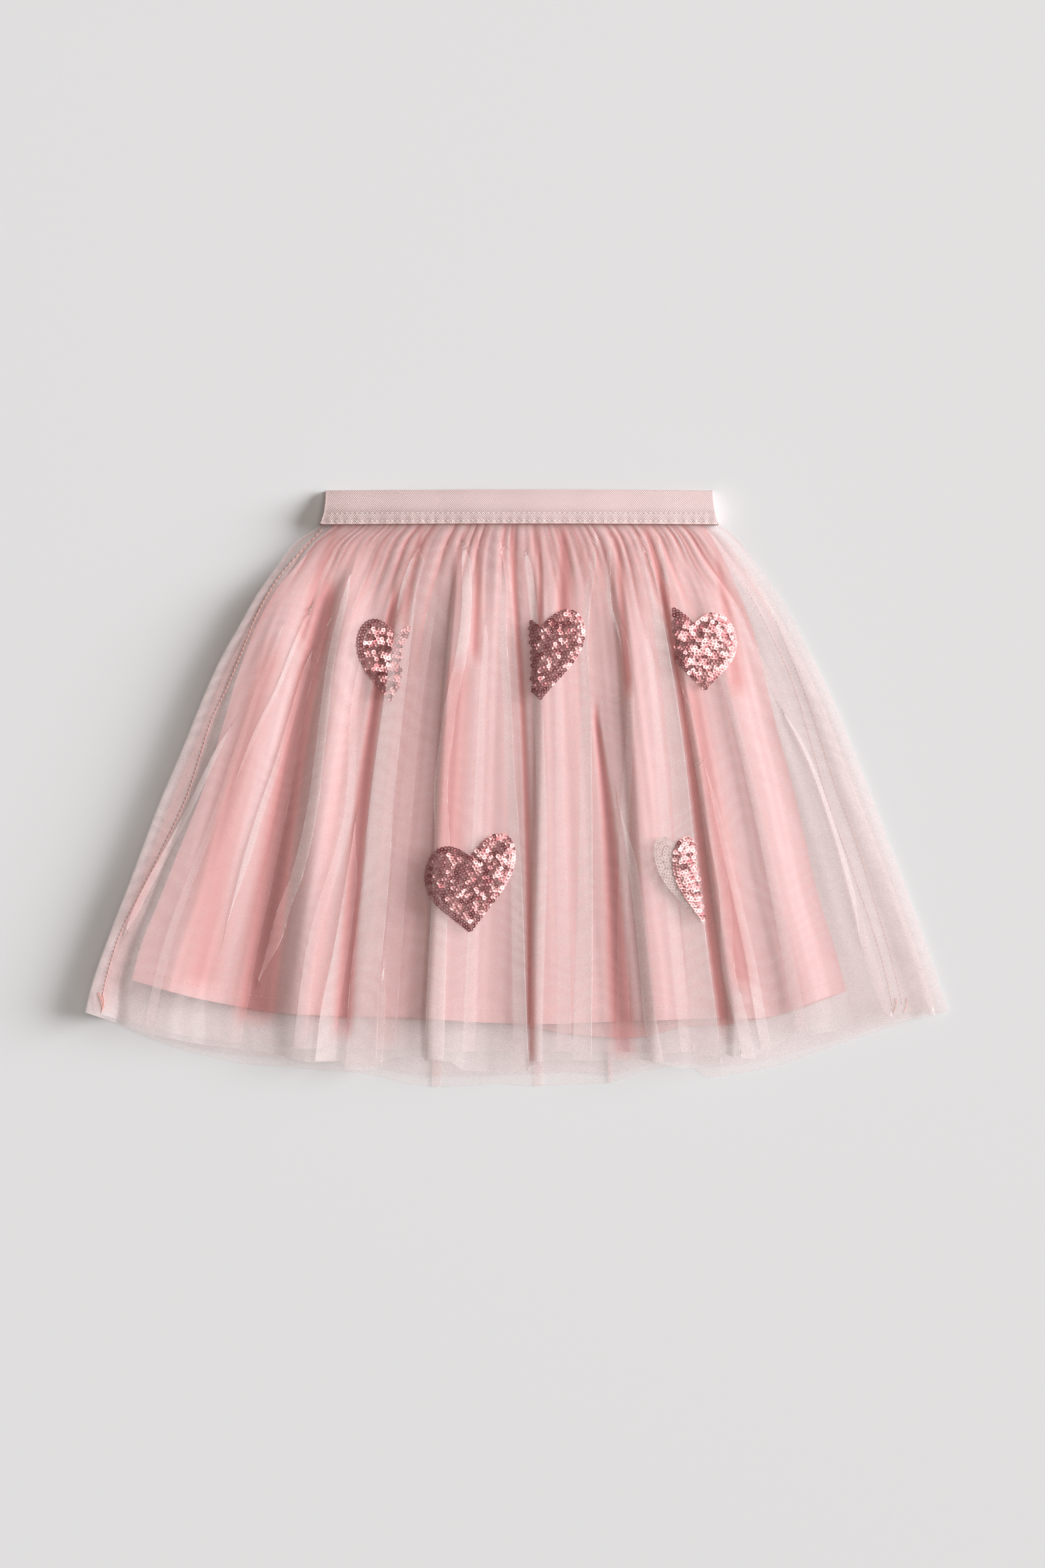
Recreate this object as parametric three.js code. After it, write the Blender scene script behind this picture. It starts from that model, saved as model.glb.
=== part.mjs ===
// A child's gathered tulle skirt, laid flat with its front up.
// Millimetres. +X is the viewer's right, +Y runs from the hem to the waist, +Z points up off the surface.
// The origin is under the middle of the skirt, on the surface that it lies on.
import * as THREE from "three";

// Driving dimensions
const SKIRT_LENGTH = 365; // from the waistband's top edge to the lowest hem
const BAND_HEIGHT = 21;
const BAND_TOP_HALF = 119.5; // half the band's flat width along its top edge
const BAND_LOW_HALF = 122.7; // and along its lower edge, where the gathers stretch it
const BAND_WALL = 1.4;
const BAND_TOP_SPACE = 3.4; // between the band's two halves along the top edge
const BAND_END_ROUND = 5; // how far in from its ends the front half curves down
const SEAM_DOWN = 14; // the cloth's upper edge, held under the band by its two rows of stitches
const BAND_SLOPE_DOWN = 12.5; // the band's front half has risen over the cloth by here
const BAND_CLEAR_DOWN = 22.5; // the cloth keeps its height over the back of the band as far as this
const FLOOR_DOWN = 31; // and from here on the back lies on the surface
const SEAM_GAP = 0.3;
const LAYER_GAP = 0.55;
const EDGE_MARGIN = 1.5; // how far past an edge below the cloth above it stays up
const EDGE_FALL = 8; // and how far it then takes to come down
const HEM_POWER = 2.2; // how the hem's curve sharpens towards its corners
const GATHERS = 38; // small gathers along the front, under the band
const GATHER_RISE = 2.2;
const GATHER_OPEN_DOWN = 28; // they have their full height from here
const GATHER_FULL_DOWN = 36; // as far as here
const GATHER_END_DOWN = 95; // and are gone by here
const FOLD_START_DOWN = 23;
const FOLD_FULL_DOWN = 64;
const STEEP_TOP = 4.5; // the width of a fold's steep face under the band
const STEEP_HEM = 9; // and at the hem
const HEART_WALL = 1;
const HEART_GAP = 0.7;
const LEAST_STEP = 2; // no two points of a row are closer than this along it

// The flat outline: half widths at each distance down from the waistband's top edge
const SECTIONS = [
  { down: 14, tulle: 115.5, inner: 107, liningLeft: 99, liningRight: 99 },
  { down: 22.5, tulle: 121, inner: 112, liningLeft: 104, liningRight: 104 },
  { down: 34, tulle: 138, inner: 129, liningLeft: 121, liningRight: 118 },
  { down: 48, tulle: 149, inner: 140, liningLeft: 132, liningRight: 128 },
  { down: 68, tulle: 163, inner: 153, liningLeft: 145, liningRight: 137 },
  { down: 92, tulle: 176, inner: 166, liningLeft: 157, liningRight: 146 },
  { down: 129, tulle: 194, inner: 184, liningLeft: 174, liningRight: 155 },
  { down: 191, tulle: 219, inner: 209, liningLeft: 196, liningRight: 170 },
  { down: 252, tulle: 243, inner: 233, liningLeft: 220, liningRight: 185 },
  { down: 293, tulle: 256.5, inner: 247, liningLeft: 233, liningRight: 199 },
  { down: 320, tulle: 265.5, inner: 256, liningLeft: 241, liningRight: 208 },
  { down: 365, tulle: 281, inner: 271, liningLeft: 255, liningRight: 224 },
];

// Folds from left to right. waist, middle and hem place each crest, as shares of the half width.
// side is where its steep face looks, -1 left or 1 right.
// lining, inner and outer say how high each front layer rises there.
const FOLDS = [
  { waist: -0.86, middle: -0.83, hem: -0.84, side: -1, lining: 0, inner: 0.5, outer: 1.8 },
  { waist: -0.77, middle: -0.72, hem: -0.72, side: -1, lining: 1, inner: 1.6, outer: 3.4 },
  { waist: -0.67, middle: -0.62, hem: -0.61, side: -1, lining: 1, inner: 2, outer: 4.4 },
  { waist: -0.55, middle: -0.5, hem: -0.52, side: 1, lining: 2, inner: 2.6, outer: 4 },
  { waist: -0.42, middle: -0.39, hem: -0.38, side: -1, lining: 1.4, inner: 2.6, outer: 5 },
  { waist: -0.25, middle: -0.22, hem: -0.2, side: 1, lining: 1, inner: 2.2, outer: 4.8 },
  { waist: -0.09, middle: -0.02, hem: 0.01, side: 1, lining: 1.2, inner: 2.4, outer: 5.2 },
  { waist: 0.07, middle: 0.07, hem: 0.07, side: -1, lining: 1.2, inner: 2, outer: 4 },
  { waist: 0.27, middle: 0.2, hem: 0.16, side: 1, lining: 1.6, inner: 2.6, outer: 4.8 },
  { waist: 0.38, middle: 0.31, hem: 0.3, side: -1, lining: 2, inner: 2.6, outer: 4.2 },
  { waist: 0.54, middle: 0.48, hem: 0.45, side: 1, lining: 1.4, inner: 2.6, outer: 5 },
  { waist: 0.63, middle: 0.56, hem: 0.53, side: -1, lining: 1, inner: 2.2, outer: 4 },
  { waist: 0.78, middle: 0.69, hem: 0.66, side: 1, lining: 1, inner: 1.8, outer: 3.4 },
  { waist: 0.95, middle: 0.91, hem: 0.88, side: -1, lining: 0, inner: 0.4, outer: 1.4 },
];

// Where down the skirt the three columns of places hold
const WAIST_STATION = 5;
const MIDDLE_STATION = 150;
const HEM_STATION = 345;

// What makes the gathers uneven: slow and quick shifts along the band, as shares of its half width
const GATHER_DRIFTS = [
  { turns: 9, shift: 0.012 },
  { turns: 23, shift: 0.006 },
];
const GATHER_SIDES = { fullTo: 0.88, flatFrom: 0.98 }; // where they fade, as shares of the half width

// Layers from the surface up: their width columns, and their hems at the middle and at the corners
const LAYERS = {
  outer_tulle_back: { left: "tulle", right: "tulle", hem: 365, corner: 320, wall: 1.1, folds: null },
  inner_tulle_back: { left: "inner", right: "inner", hem: 359, corner: 317, wall: 1.1, folds: null },
  lining_back: { left: "liningLeft", right: "liningRight", hem: 334.5, corner: 304, wall: 1.1, folds: null },
  lining_front: {
    left: "liningLeft", right: "liningRight", hem: 326.5, corner: 302, wall: 1.1, folds: "lining",
  },
  inner_tulle_front: { left: "inner", right: "inner", hem: 346, corner: 315, wall: 1.2, folds: "inner" },
  outer_tulle_front: { left: "tulle", right: "tulle", hem: 355, corner: 320, wall: 1.5, folds: "outer" },
};
const STACK = Object.keys(LAYERS);

// Rows of points down the skirt, as distances along its middle if its hem were straight
const TOP_ROWS = [SEAM_DOWN, BAND_CLEAR_DOWN, FLOOR_DOWN, 44, FOLD_FULL_DOWN];
const LOW_ROWS = [95, 135, 185, 235, 280, 318];
const BACK_ROWS = [SEAM_DOWN, BAND_CLEAR_DOWN, FLOOR_DOWN, FOLD_FULL_DOWN, 110, 180, 260, 320];
const BACK_COLUMNS = 24;
const GATHER_COLUMNS = 4 * GATHERS;
const HEM_BEND = 3; // how quickly the rows take up the hem's curve

// Rows and columns of each half of the band, its columns crowding towards its ends
const BAND_ROWS = [0, 0.25, 0.5, 0.7, 1];
const BAND_COLUMNS = 28;
const BAND_CROWDING = 1.6;

// The sequinned hearts: the middle, the size, the turn in degrees (a negative one lifts the right lobe),
// the skew (how far up each step to the right goes), and where a fold cuts a heart off
const HEARTS = [
  { name: "heart_upper_left", x: -76, down: 106, width: 49, height: 52, turn: 4, skew: 0, right: -66 },
  { name: "heart_upper_middle", x: 13, down: 102, width: 55, height: 54, turn: 0, skew: 0.1, left: 6.5 },
  { name: "heart_upper_right", x: 110.5, down: 98.5, width: 49, height: 51, turn: -5, skew: -0.1, left: 95 },
  { name: "heart_lower_left", x: -30, down: 243, width: 56, height: 57, turn: 0, skew: 0.25 },
  { name: "heart_lower_right", x: 113.5, down: 239.5, width: 40, height: 55, turn: 0, skew: 0, right: 110 },
];
const HEART_FULLNESS = 2.1; // 2 has straight sides down to the tip, and 3 has hollow ones
const HEART_POINTS = 24;
const HEART_RINGS = 3;
const HEART_STEP = 10; // the longest step along a heart's edge
const HEART_MIDDLE = 0.05; // how far below its middle the rings' middle lies, as a share of its height
const HEART_REACH = 5; // a heart rests on the highest cloth within this distance of each of its points

const COLOURS = {
  band: new THREE.Color(0.83, 0.6, 0.58),
  outerTulle: new THREE.Color(0.87, 0.7, 0.69),
  innerTulle: new THREE.Color(0.85, 0.66, 0.65),
  lining: new THREE.Color(0.86, 0.58, 0.57),
  sequins: new THREE.Color(0.72, 0.4, 0.42),
};

const { lerp, clamp, degToRad } = THREE.MathUtils;
const smooth = (from, to, value) => THREE.MathUtils.smoothstep(value, from, to);
const yAt = (down) => SKIRT_LENGTH / 2 - down;

// A width column of SECTIONS at any distance down
function sectionAt(column, down) {
  let i = 0;
  while (i < SECTIONS.length - 2 && down > SECTIONS[i + 1].down) i += 1;
  const [a, b] = [SECTIONS[i], SECTIONS[i + 1]];
  return lerp(a[column], b[column], (down - a.down) / (b.down - a.down));
}

const halfWidth = (layer, side, down) => sectionAt(side < 0 ? layer.left : layer.right, down);

// A layer's hem at a share of its half width
function hemAt(layer, share) {
  return layer.hem - (layer.hem - layer.corner) * Math.min(1, Math.abs(share)) ** HEM_POWER;
}

// 1 where a layer lies under the cloth above it, falling to 0 past its side and hem edges.
// The two halves of the lining count as one, with the longer one's hem.
function cover(name, x, down) {
  const layer = LAYERS[name === "lining_front" ? "lining_back" : name];
  const half = halfWidth(layer, x, down);
  const pastSide = Math.abs(x) - half - EDGE_MARGIN;
  const pastHem = down - hemAt(layer, x / halfWidth(layer, x, layer.hem)) - EDGE_MARGIN;
  return (1 - clamp(pastSide / EDGE_FALL, 0, 1)) * (1 - clamp(pastHem / EDGE_FALL, 0, 1));
}

// The fold lines at a distance down, from left to right.
// Each fold gives its crest and the foot of its steep face.
function foldLines(down) {
  const half = sectionAt("tulle", down);
  const steep = lerp(STEEP_TOP, STEEP_HEM, down / SKIRT_LENGTH);
  const lines = FOLDS.flatMap((fold) => {
    const toMiddle = smooth(WAIST_STATION, MIDDLE_STATION, down);
    const toHem = smooth(MIDDLE_STATION, HEM_STATION, down);
    const crest = lerp(lerp(fold.waist, fold.middle, toMiddle), fold.hem, toHem) * half;
    const pair = [
      { x: crest, fold },
      { x: crest + fold.side * steep, fold: null },
    ];
    return fold.side < 0 ? pair.reverse() : pair;
  });
  return [{ x: -half, fold: null }, ...lines, { x: half, fold: null }];
}

// A point's place among the fold lines: 3.5 is midway between the fourth line and the fifth
function lineKey(x, down) {
  const lines = foldLines(down);
  let i = 0;
  while (i < lines.length - 2 && x > lines[i + 1].x) i += 1;
  return i + clamp((x - lines[i].x) / (lines[i + 1].x - lines[i].x), 0, 1);
}

function foldHeight(column, x, down) {
  const lines = foldLines(down);
  const key = lineKey(x, down);
  const i = Math.min(lines.length - 2, Math.floor(key));
  const rise = (line) => (line.fold ? line.fold[column] : 0);
  return lerp(rise(lines[i]), rise(lines[i + 1]), key - i) * smooth(FOLD_START_DOWN, FOLD_FULL_DOWN, down);
}

// The small gathers under the band, unevenly spaced
function gatherHeight(x, down) {
  const share = x / sectionAt("tulle", down);
  const drift = GATHER_DRIFTS.reduce((sum, { turns, shift }) => sum + shift * Math.sin(turns * share), 0);
  const wave = GATHERS * Math.PI * (share + drift);
  const opening = smooth(BAND_HEIGHT, GATHER_OPEN_DOWN, down);
  const closing = 1 - smooth(GATHER_FULL_DOWN, GATHER_END_DOWN, down);
  const atEdge = 1 - smooth(GATHER_SIDES.fullTo, GATHER_SIDES.flatFrom, Math.abs(share));
  return (GATHER_RISE * opening * closing * atEdge * (1 - Math.cos(wave))) / 2;
}

// The height of each layer's lower face over the surface
function undersideOf(name, x, down) {
  const layer = LAYERS[name];
  const inBand = 1 - clamp((down - BAND_CLEAR_DOWN) / (FLOOR_DOWN - BAND_CLEAR_DOWN), 0, 1);
  const gap = lerp(LAYER_GAP, SEAM_GAP, inBand);
  let z = (BAND_WALL + SEAM_GAP) * inBand;
  for (const below of STACK.slice(0, STACK.indexOf(name))) {
    z += (LAYERS[below].wall + gap) * cover(below, x, down);
  }
  if (layer.folds) z += foldHeight(layer.folds, x, down);
  if (layer.folds === "outer") z += gatherHeight(x, down);
  return z;
}

// A closed wall of cloth between the lower and upper faces of rows of points. Rows run from the waist to
// the hem, and their points from left to right. Neighbouring rows may have different numbers of points,
// which are joined in the order of their keys.
function clothWall(rows) {
  const positions = [];
  const index = [];
  const starts = [];
  let count = 0;
  for (const row of rows) {
    starts.push(count);
    count += row.length;
  }
  for (const face of ["high", "low"]) {
    for (const row of rows) row.forEach((p) => positions.push(p.x, p.y, p[face]));
  }
  const bothFaces = (a, b, c) => index.push(a, b, c, count + a, count + c, count + b);
  const rim = (a, b) => index.push(b, a, count + a, b, count + a, count + b);
  for (let r = 0; r < rows.length - 1; r += 1) {
    const [upper, lower] = [rows[r], rows[r + 1]];
    let [i, j] = [0, 0];
    while (i < upper.length - 1 || j < lower.length - 1) {
      const upperNext = i < upper.length - 1 ? upper[i + 1].key : Infinity;
      const lowerNext = j < lower.length - 1 ? lower[j + 1].key : Infinity;
      const [a, b] = [starts[r] + i, starts[r + 1] + j];
      if (upperNext <= lowerNext) {
        bothFaces(a, b, a + 1);
        i += 1;
      } else {
        bothFaces(a, b, b + 1);
        j += 1;
      }
    }
    rim(starts[r], starts[r + 1]);
    rim(starts[r + 1] + lower.length - 1, starts[r] + upper.length - 1);
  }
  const lastRow = rows.length - 1;
  const hem = starts[lastRow];
  for (let j = 0; j < rows[lastRow].length - 1; j += 1) rim(hem + j, hem + j + 1);
  for (let i = rows[0].length - 1; i > 0; i -= 1) rim(i, i - 1);
  return new THREE.BufferGeometry()
    .setAttribute("position", new THREE.Float32BufferAttribute(positions, 3))
    .setIndex(index);
}

// Where a row of a layer lies at a given x: straight at the top, and following the hem's curve lower down
function rowDown(layer, row, x) {
  if (row.past) {
    const edge = LAYERS[row.past];
    return hemAt(edge, x / halfWidth(edge, x, edge.hem)) + EDGE_MARGIN / 2;
  }
  const share = x / halfWidth(layer, x, layer.hem);
  return row.at + (hemAt(layer, share) - SKIRT_LENGTH) * (row.at / SKIRT_LENGTH) ** HEM_BEND;
}

// One row's points: at even steps, or on the fold lines and on the edges of the layers below
function rowPoints(name, row) {
  const layer = LAYERS[name];
  const settle = (xAt) => {
    let down = row.past ? LAYERS[row.past].hem : row.at;
    for (let pass = 0; pass < 6; pass += 1) down = rowDown(layer, row, xAt(down));
    return { x: xAt(down), down };
  };
  const edges = [-1, 1].map((side) => settle((down) => side * halfWidth(layer, side, down)));
  let places = [];
  if (row.columns) {
    for (let i = 1; i < row.columns; i += 1) {
      const share = (2 * i) / row.columns - 1;
      places.push(settle((down) => share * halfWidth(layer, share, down)));
    }
  } else {
    places = foldLines(0).slice(1, -1).map((_, i) => settle((down) => foldLines(down)[i + 1].x));
    for (const under of STACK.slice(STACK.indexOf("lining_back"), STACK.indexOf(name))) {
      for (const side of [-1, 1]) {
        for (const past of [EDGE_MARGIN, EDGE_MARGIN + EDGE_FALL]) {
          const place = settle((down) => side * (halfWidth(LAYERS[under], side, down) + past));
          places = [...places.filter((p) => Math.abs(p.x - place.x) > LEAST_STEP), place];
        }
      }
    }
    places.sort((a, b) => a.x - b.x);
  }
  const inside = places.filter((p) => p.x > edges[0].x + LEAST_STEP && p.x < edges[1].x - LEAST_STEP);
  return [edges[0], ...inside, edges[1]].map(({ x, down }) => {
    const low = undersideOf(name, x, down);
    return { key: lineKey(x, down), x, y: yAt(down), low, high: low + layer.wall };
  });
}

function panel(name, rows) {
  return clothWall(rows.map((row) => rowPoints(name, row)));
}

const plainRows = (downs, columns) => downs.map((at) => ({ at, columns }));
const hemRow = { at: SKIRT_LENGTH };

// Half of the waistband. The front half lies over the gathers, and curves down at its ends to the back half.
function bandHalf(isFront) {
  const rows = BAND_ROWS.map((at) => {
    const down = at * BAND_HEIGHT;
    const half = lerp(BAND_TOP_HALF, BAND_LOW_HALF, at * at);
    const row = [];
    for (let i = 0; i <= BAND_COLUMNS; i += 1) {
      const even = (2 * i) / BAND_COLUMNS - 1;
      const share = Math.sign(even) * (1 - (1 - Math.abs(even)) ** BAND_CROWDING);
      const x = share * half;
      const low = isFront ? frontBandUnderside(x, down, half) : 0;
      row.push({ key: share, x, y: yAt(down), low, high: low + BAND_WALL });
    }
    return row;
  });
  return clothWall(rows);
}

function frontBandUnderside(x, down, half) {
  const topEdge = BAND_WALL + BAND_TOP_SPACE;
  const overCloth = undersideOf("outer_tulle_front", 0, SEAM_DOWN) + LAYERS.outer_tulle_front.wall + SEAM_GAP;
  const middle = lerp(topEdge, overCloth, smooth(0, BAND_SLOPE_DOWN, down));
  const inFromEnd = Math.min(1, (half - Math.abs(x)) / BAND_END_ROUND);
  const round = Math.sqrt(1 - (1 - inFromEnd) ** 2);
  return lerp(BAND_WALL + SEAM_GAP, middle, round);
}

// A heart's outline around its middle, for an angle from 0 to a full turn, one unit wide and high
function heartOutline(angle) {
  const across = (Math.sign(Math.sin(angle)) * Math.abs(Math.sin(angle)) ** HEART_FULLNESS) / 2;
  const up = 13 * Math.cos(angle) - 5 * Math.cos(2 * angle) - 2 * Math.cos(3 * angle) - Math.cos(4 * angle);
  return { across, up: (up + 2.5) / 29 };
}

// The height of the front's outer face, at its highest within reach of a point
function topOfFront(x, down) {
  const near = [-HEART_REACH, 0, HEART_REACH].map((step) => undersideOf("outer_tulle_front", x + step, down));
  return Math.max(...near) + LAYERS.outer_tulle_front.wall;
}

// A heart's outline on the skirt. What lies past a fold is cut off, and the cut is a straight edge.
function cutOutline({ x, down, width, height, turn, skew, left = -Infinity, right = Infinity }) {
  const angle = degToRad(turn);
  const whole = [];
  for (let i = 0; i < HEART_POINTS; i += 1) {
    const edge = heartOutline((2 * Math.PI * (i + 0.5)) / HEART_POINTS);
    const across = edge.across * width;
    const up = edge.up * height + skew * across;
    whole.push({
      x: x + across * Math.cos(angle) + up * Math.sin(angle),
      down: down + across * Math.sin(angle) - up * Math.cos(angle),
    });
  }
  const isKept = (p) => p.x >= left && p.x <= right;
  return whole.flatMap((p, i) => {
    const next = whole[(i + 1) % whole.length];
    if (isKept(p) === isKept(next)) return isKept(p) ? [p] : [];
    const cut = clamp(isKept(p) ? next.x : p.x, left, right);
    const crossing = { x: cut, down: lerp(p.down, next.down, (cut - p.x) / (next.x - p.x)) };
    return isKept(p) ? [p, crossing] : [crossing];
  });
}

// Points along a closed outline with no step longer than a heart's, so that its edge follows the cloth
function evenSteps(outline) {
  return outline.flatMap((p, i) => {
    const next = outline[(i + 1) % outline.length];
    const steps = Math.ceil(Math.hypot(next.x - p.x, next.down - p.down) / HEART_STEP);
    return Array.from({ length: steps }, (_, k) => ({
      x: lerp(p.x, next.x, k / steps),
      down: lerp(p.down, next.down, k / steps),
    }));
  });
}

// A heart of sequins lying on the outer front
function heart(spot) {
  const outline = evenSteps(cutOutline(spot));
  const xs = outline.map((p) => p.x);
  const middle = { x: (Math.min(...xs) + Math.max(...xs)) / 2, down: spot.down + HEART_MIDDLE * spot.height };
  const places = [middle];
  for (let ring = 1; ring <= HEART_RINGS; ring += 1) {
    const share = ring / HEART_RINGS;
    for (const p of outline) {
      places.push({ x: lerp(middle.x, p.x, share), down: lerp(middle.down, p.down, share) });
    }
  }
  const tops = places.map((p) => [p.x, yAt(p.down), topOfFront(p.x, p.down) + HEART_GAP]);
  const positions = [...tops.flatMap(([px, py, low]) => [px, py, low + HEART_WALL]), ...tops.flat()];
  const count = tops.length;
  const around = outline.length;
  const index = [];
  const bothFaces = (a, b, c) => index.push(a, c, b, count + a, count + b, count + c);
  const at = (ring, i) => 1 + (ring - 1) * around + (i % around);
  for (let i = 0; i < around; i += 1) {
    bothFaces(0, at(1, i), at(1, i + 1));
    for (let ring = 1; ring < HEART_RINGS; ring += 1) {
      bothFaces(at(ring, i), at(ring + 1, i), at(ring + 1, i + 1));
      bothFaces(at(ring, i), at(ring + 1, i + 1), at(ring, i + 1));
    }
    const [a, b] = [at(HEART_RINGS, i), at(HEART_RINGS, i + 1)];
    index.push(a, b, count + a, b, count + b, count + a);
  }
  return new THREE.BufferGeometry()
    .setAttribute("position", new THREE.Float32BufferAttribute(positions, 3))
    .setIndex(index);
}

function piece(name, geometry, color, roughness, metalness = 0) {
  const mesh = new THREE.Mesh(geometry, new THREE.MeshStandardMaterial({ color, roughness, metalness }));
  mesh.name = name;
  return mesh;
}

function makeSkirt() {
  const backRows = [...plainRows(BACK_ROWS, BACK_COLUMNS), { ...hemRow, columns: BACK_COLUMNS }];
  const foldedRows = plainRows([...TOP_ROWS, ...LOW_ROWS]);
  const gatheredRows = [...plainRows(TOP_ROWS, GATHER_COLUMNS), ...plainRows(LOW_ROWS)];
  const underLining = { past: "lining_back" };
  const underInner = { past: "inner_tulle_front" };
  const skirt = new THREE.Group();
  skirt.add(
    piece("waistband_back", bandHalf(false), COLOURS.band, 0.7),
    piece("outer_tulle_back", panel("outer_tulle_back", backRows), COLOURS.outerTulle, 0.9),
    piece("inner_tulle_back", panel("inner_tulle_back", backRows), COLOURS.innerTulle, 0.9),
    piece("lining_back", panel("lining_back", backRows), COLOURS.lining, 0.75),
    piece("lining_front", panel("lining_front", [...foldedRows, hemRow]), COLOURS.lining, 0.75),
    piece(
      "inner_tulle_front",
      panel("inner_tulle_front", [...foldedRows, underLining, hemRow]),
      COLOURS.innerTulle,
      0.9,
    ),
    piece(
      "outer_tulle_front",
      panel("outer_tulle_front", [...gatheredRows, underLining, underInner, hemRow]),
      COLOURS.outerTulle,
      0.9,
    ),
    piece("waistband_front", bandHalf(true), COLOURS.band, 0.7),
    ...HEARTS.map((spot) => piece(spot.name, heart(spot), COLOURS.sequins, 0.3, 0.6)),
  );
  return skirt;
}

export default makeSkirt();
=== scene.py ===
"""Dresses a child's gathered tulle skirt, laid flat with its front up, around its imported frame.

Sizes are in millimetres until a mesh is made. x runs to the viewer's right, down runs from the
waistband's top edge to the hem, and z is the height over the surface that the skirt lies on.
"""

from __future__ import annotations

import logging
import math
import random
from dataclasses import dataclass, field
from enum import Enum

import bpy
import numpy as np
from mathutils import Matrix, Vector

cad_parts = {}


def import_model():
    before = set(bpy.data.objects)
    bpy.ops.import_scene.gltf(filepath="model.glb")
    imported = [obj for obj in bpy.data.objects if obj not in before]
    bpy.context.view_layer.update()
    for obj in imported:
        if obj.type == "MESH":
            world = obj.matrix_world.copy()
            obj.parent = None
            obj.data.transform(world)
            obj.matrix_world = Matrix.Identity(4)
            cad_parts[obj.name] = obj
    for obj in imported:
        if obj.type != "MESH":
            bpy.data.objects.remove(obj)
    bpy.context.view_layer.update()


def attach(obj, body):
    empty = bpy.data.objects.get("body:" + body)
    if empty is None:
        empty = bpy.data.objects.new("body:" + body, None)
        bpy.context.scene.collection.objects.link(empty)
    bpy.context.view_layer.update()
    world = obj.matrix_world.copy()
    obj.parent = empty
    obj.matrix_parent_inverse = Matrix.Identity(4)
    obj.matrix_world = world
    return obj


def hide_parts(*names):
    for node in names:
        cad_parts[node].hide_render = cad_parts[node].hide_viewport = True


LOG = logging.getLogger("skirt")
MM = 0.001
SKIRT_LENGTH = 365.0
BAND_HEIGHT = 21.0
# Where the panels start, inside the band
SEAM_DOWN = 15.5
# How far the middle of the front is held up
DOME_RISE = 7.5
# The lowest that a panel comes to the surface
LEAST_HEIGHT = 0.12
# A fold's overlap over half the width of the strip that turns over
TURN_SPAN = 3.05
# Where columns of points lie beside a fold's middle, as shares of the strip's half width
FOLD_STEPS = np.array([[0.0, 0.14, 0.27, 0.38, 0.449, 0.52, 0.66, 0.82, 1.0]])
# The most of the way to the next fold that those columns take
FOLD_REACH = 0.42
# The least distance between two folds, and how many rows their lines are smoothed over
LEAST_GAP = 1.2
SMOOTH_ROWS = 15
HOLLOW_DEPTH = 1.4
# How deep a dent is where its painted fuller colour, for light bounced between the pink cloth, turns to
# painted shade, and how much of that painted shade two gathers have between them
PAINTED_SHADE_STEP = 0.6
GATHER_SHADE = 0.9
# How far a heart's notch is filled, as a share of its height, and how round its lobes are
NOTCH_FILL = 0.05
HEART_FULLNESS = 2.1

Colour = tuple[float, float, float]
Points = list[tuple[float, float]]


class Side(Enum):
    """Which way a fold's crisp edge looks."""

    LEFT = -1
    RIGHT = 1


def smoothstep(low: float, high: float, value: np.ndarray) -> np.ndarray:
    """Eases from 0 at low to 1 at high.

    Args:
        low: where it starts.
        high: where it ends.
        value: what is eased.

    Returns:
        The eased shares.
    """
    share = np.clip((np.asarray(value, float) - low) / (high - low), 0.0, 1.0)
    return share * share * (3.0 - 2.0 * share)


def between(ends: tuple[float, float], share: np.ndarray) -> np.ndarray:
    """Goes from the first of two values to the second."""
    return ends[0] + (ends[1] - ends[0]) * share


def swell(share: np.ndarray) -> np.ndarray:
    """Gives a soft wave's height, 1 where a share is 0 and 0 where it is 1."""
    return (1 + np.cos(math.pi * np.clip(share, 0, 1))) / 2


def curve_through(points: Points, place: np.ndarray) -> np.ndarray:
    """Follows a smooth curve through a few given points, level past both ends.

    Args:
        points: pairs of a place and the value there, in order of place.
        place: where the curve is read.

    Returns:
        The curve's values.
    """
    xs = np.array([p[0] for p in points])
    ys = np.array([p[1] for p in points])
    slopes = np.gradient(ys, xs) if len(xs) > 2 else np.full(len(xs), (ys[-1] - ys[0]) / (xs[-1] - xs[0]))
    at = np.clip(np.asarray(place, float), xs[0], xs[-1])
    i = np.clip(np.searchsorted(xs, at) - 1, 0, len(xs) - 2)
    step = xs[i + 1] - xs[i]
    t = (at - xs[i]) / step
    return (
        (2 * t**3 - 3 * t**2 + 1) * ys[i]
        + (t**3 - 2 * t**2 + t) * slopes[i] * step
        + (3 * t**2 - 2 * t**3) * ys[i + 1]
        + (t**3 - t**2) * slopes[i + 1] * step
    )


def streaks(count: int, seed: int, x: np.ndarray, down: np.ndarray, pitch: float) -> np.ndarray:
    """Makes uneven creases that run down the skirt.

    Args:
        count: how many waves are summed.
        seed: seeds their places.
        x: places across the skirt as shares of its half width.
        down: places down the skirt.
        pitch: the middle width of a crease, as a share of the half width.

    Returns:
        Heights between about -1 and 1.
    """
    rng = random.Random(seed)
    total = np.zeros_like(x)
    for _ in range(count):
        turns = 2 * math.pi / (pitch * rng.uniform(0.6, 1.7))
        drift = rng.uniform(-0.8, 0.8)
        total += np.sin(turns * x + drift * np.sin(down / rng.uniform(40, 110)) + rng.uniform(0, 6.28))
    return total / math.sqrt(count)


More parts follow.
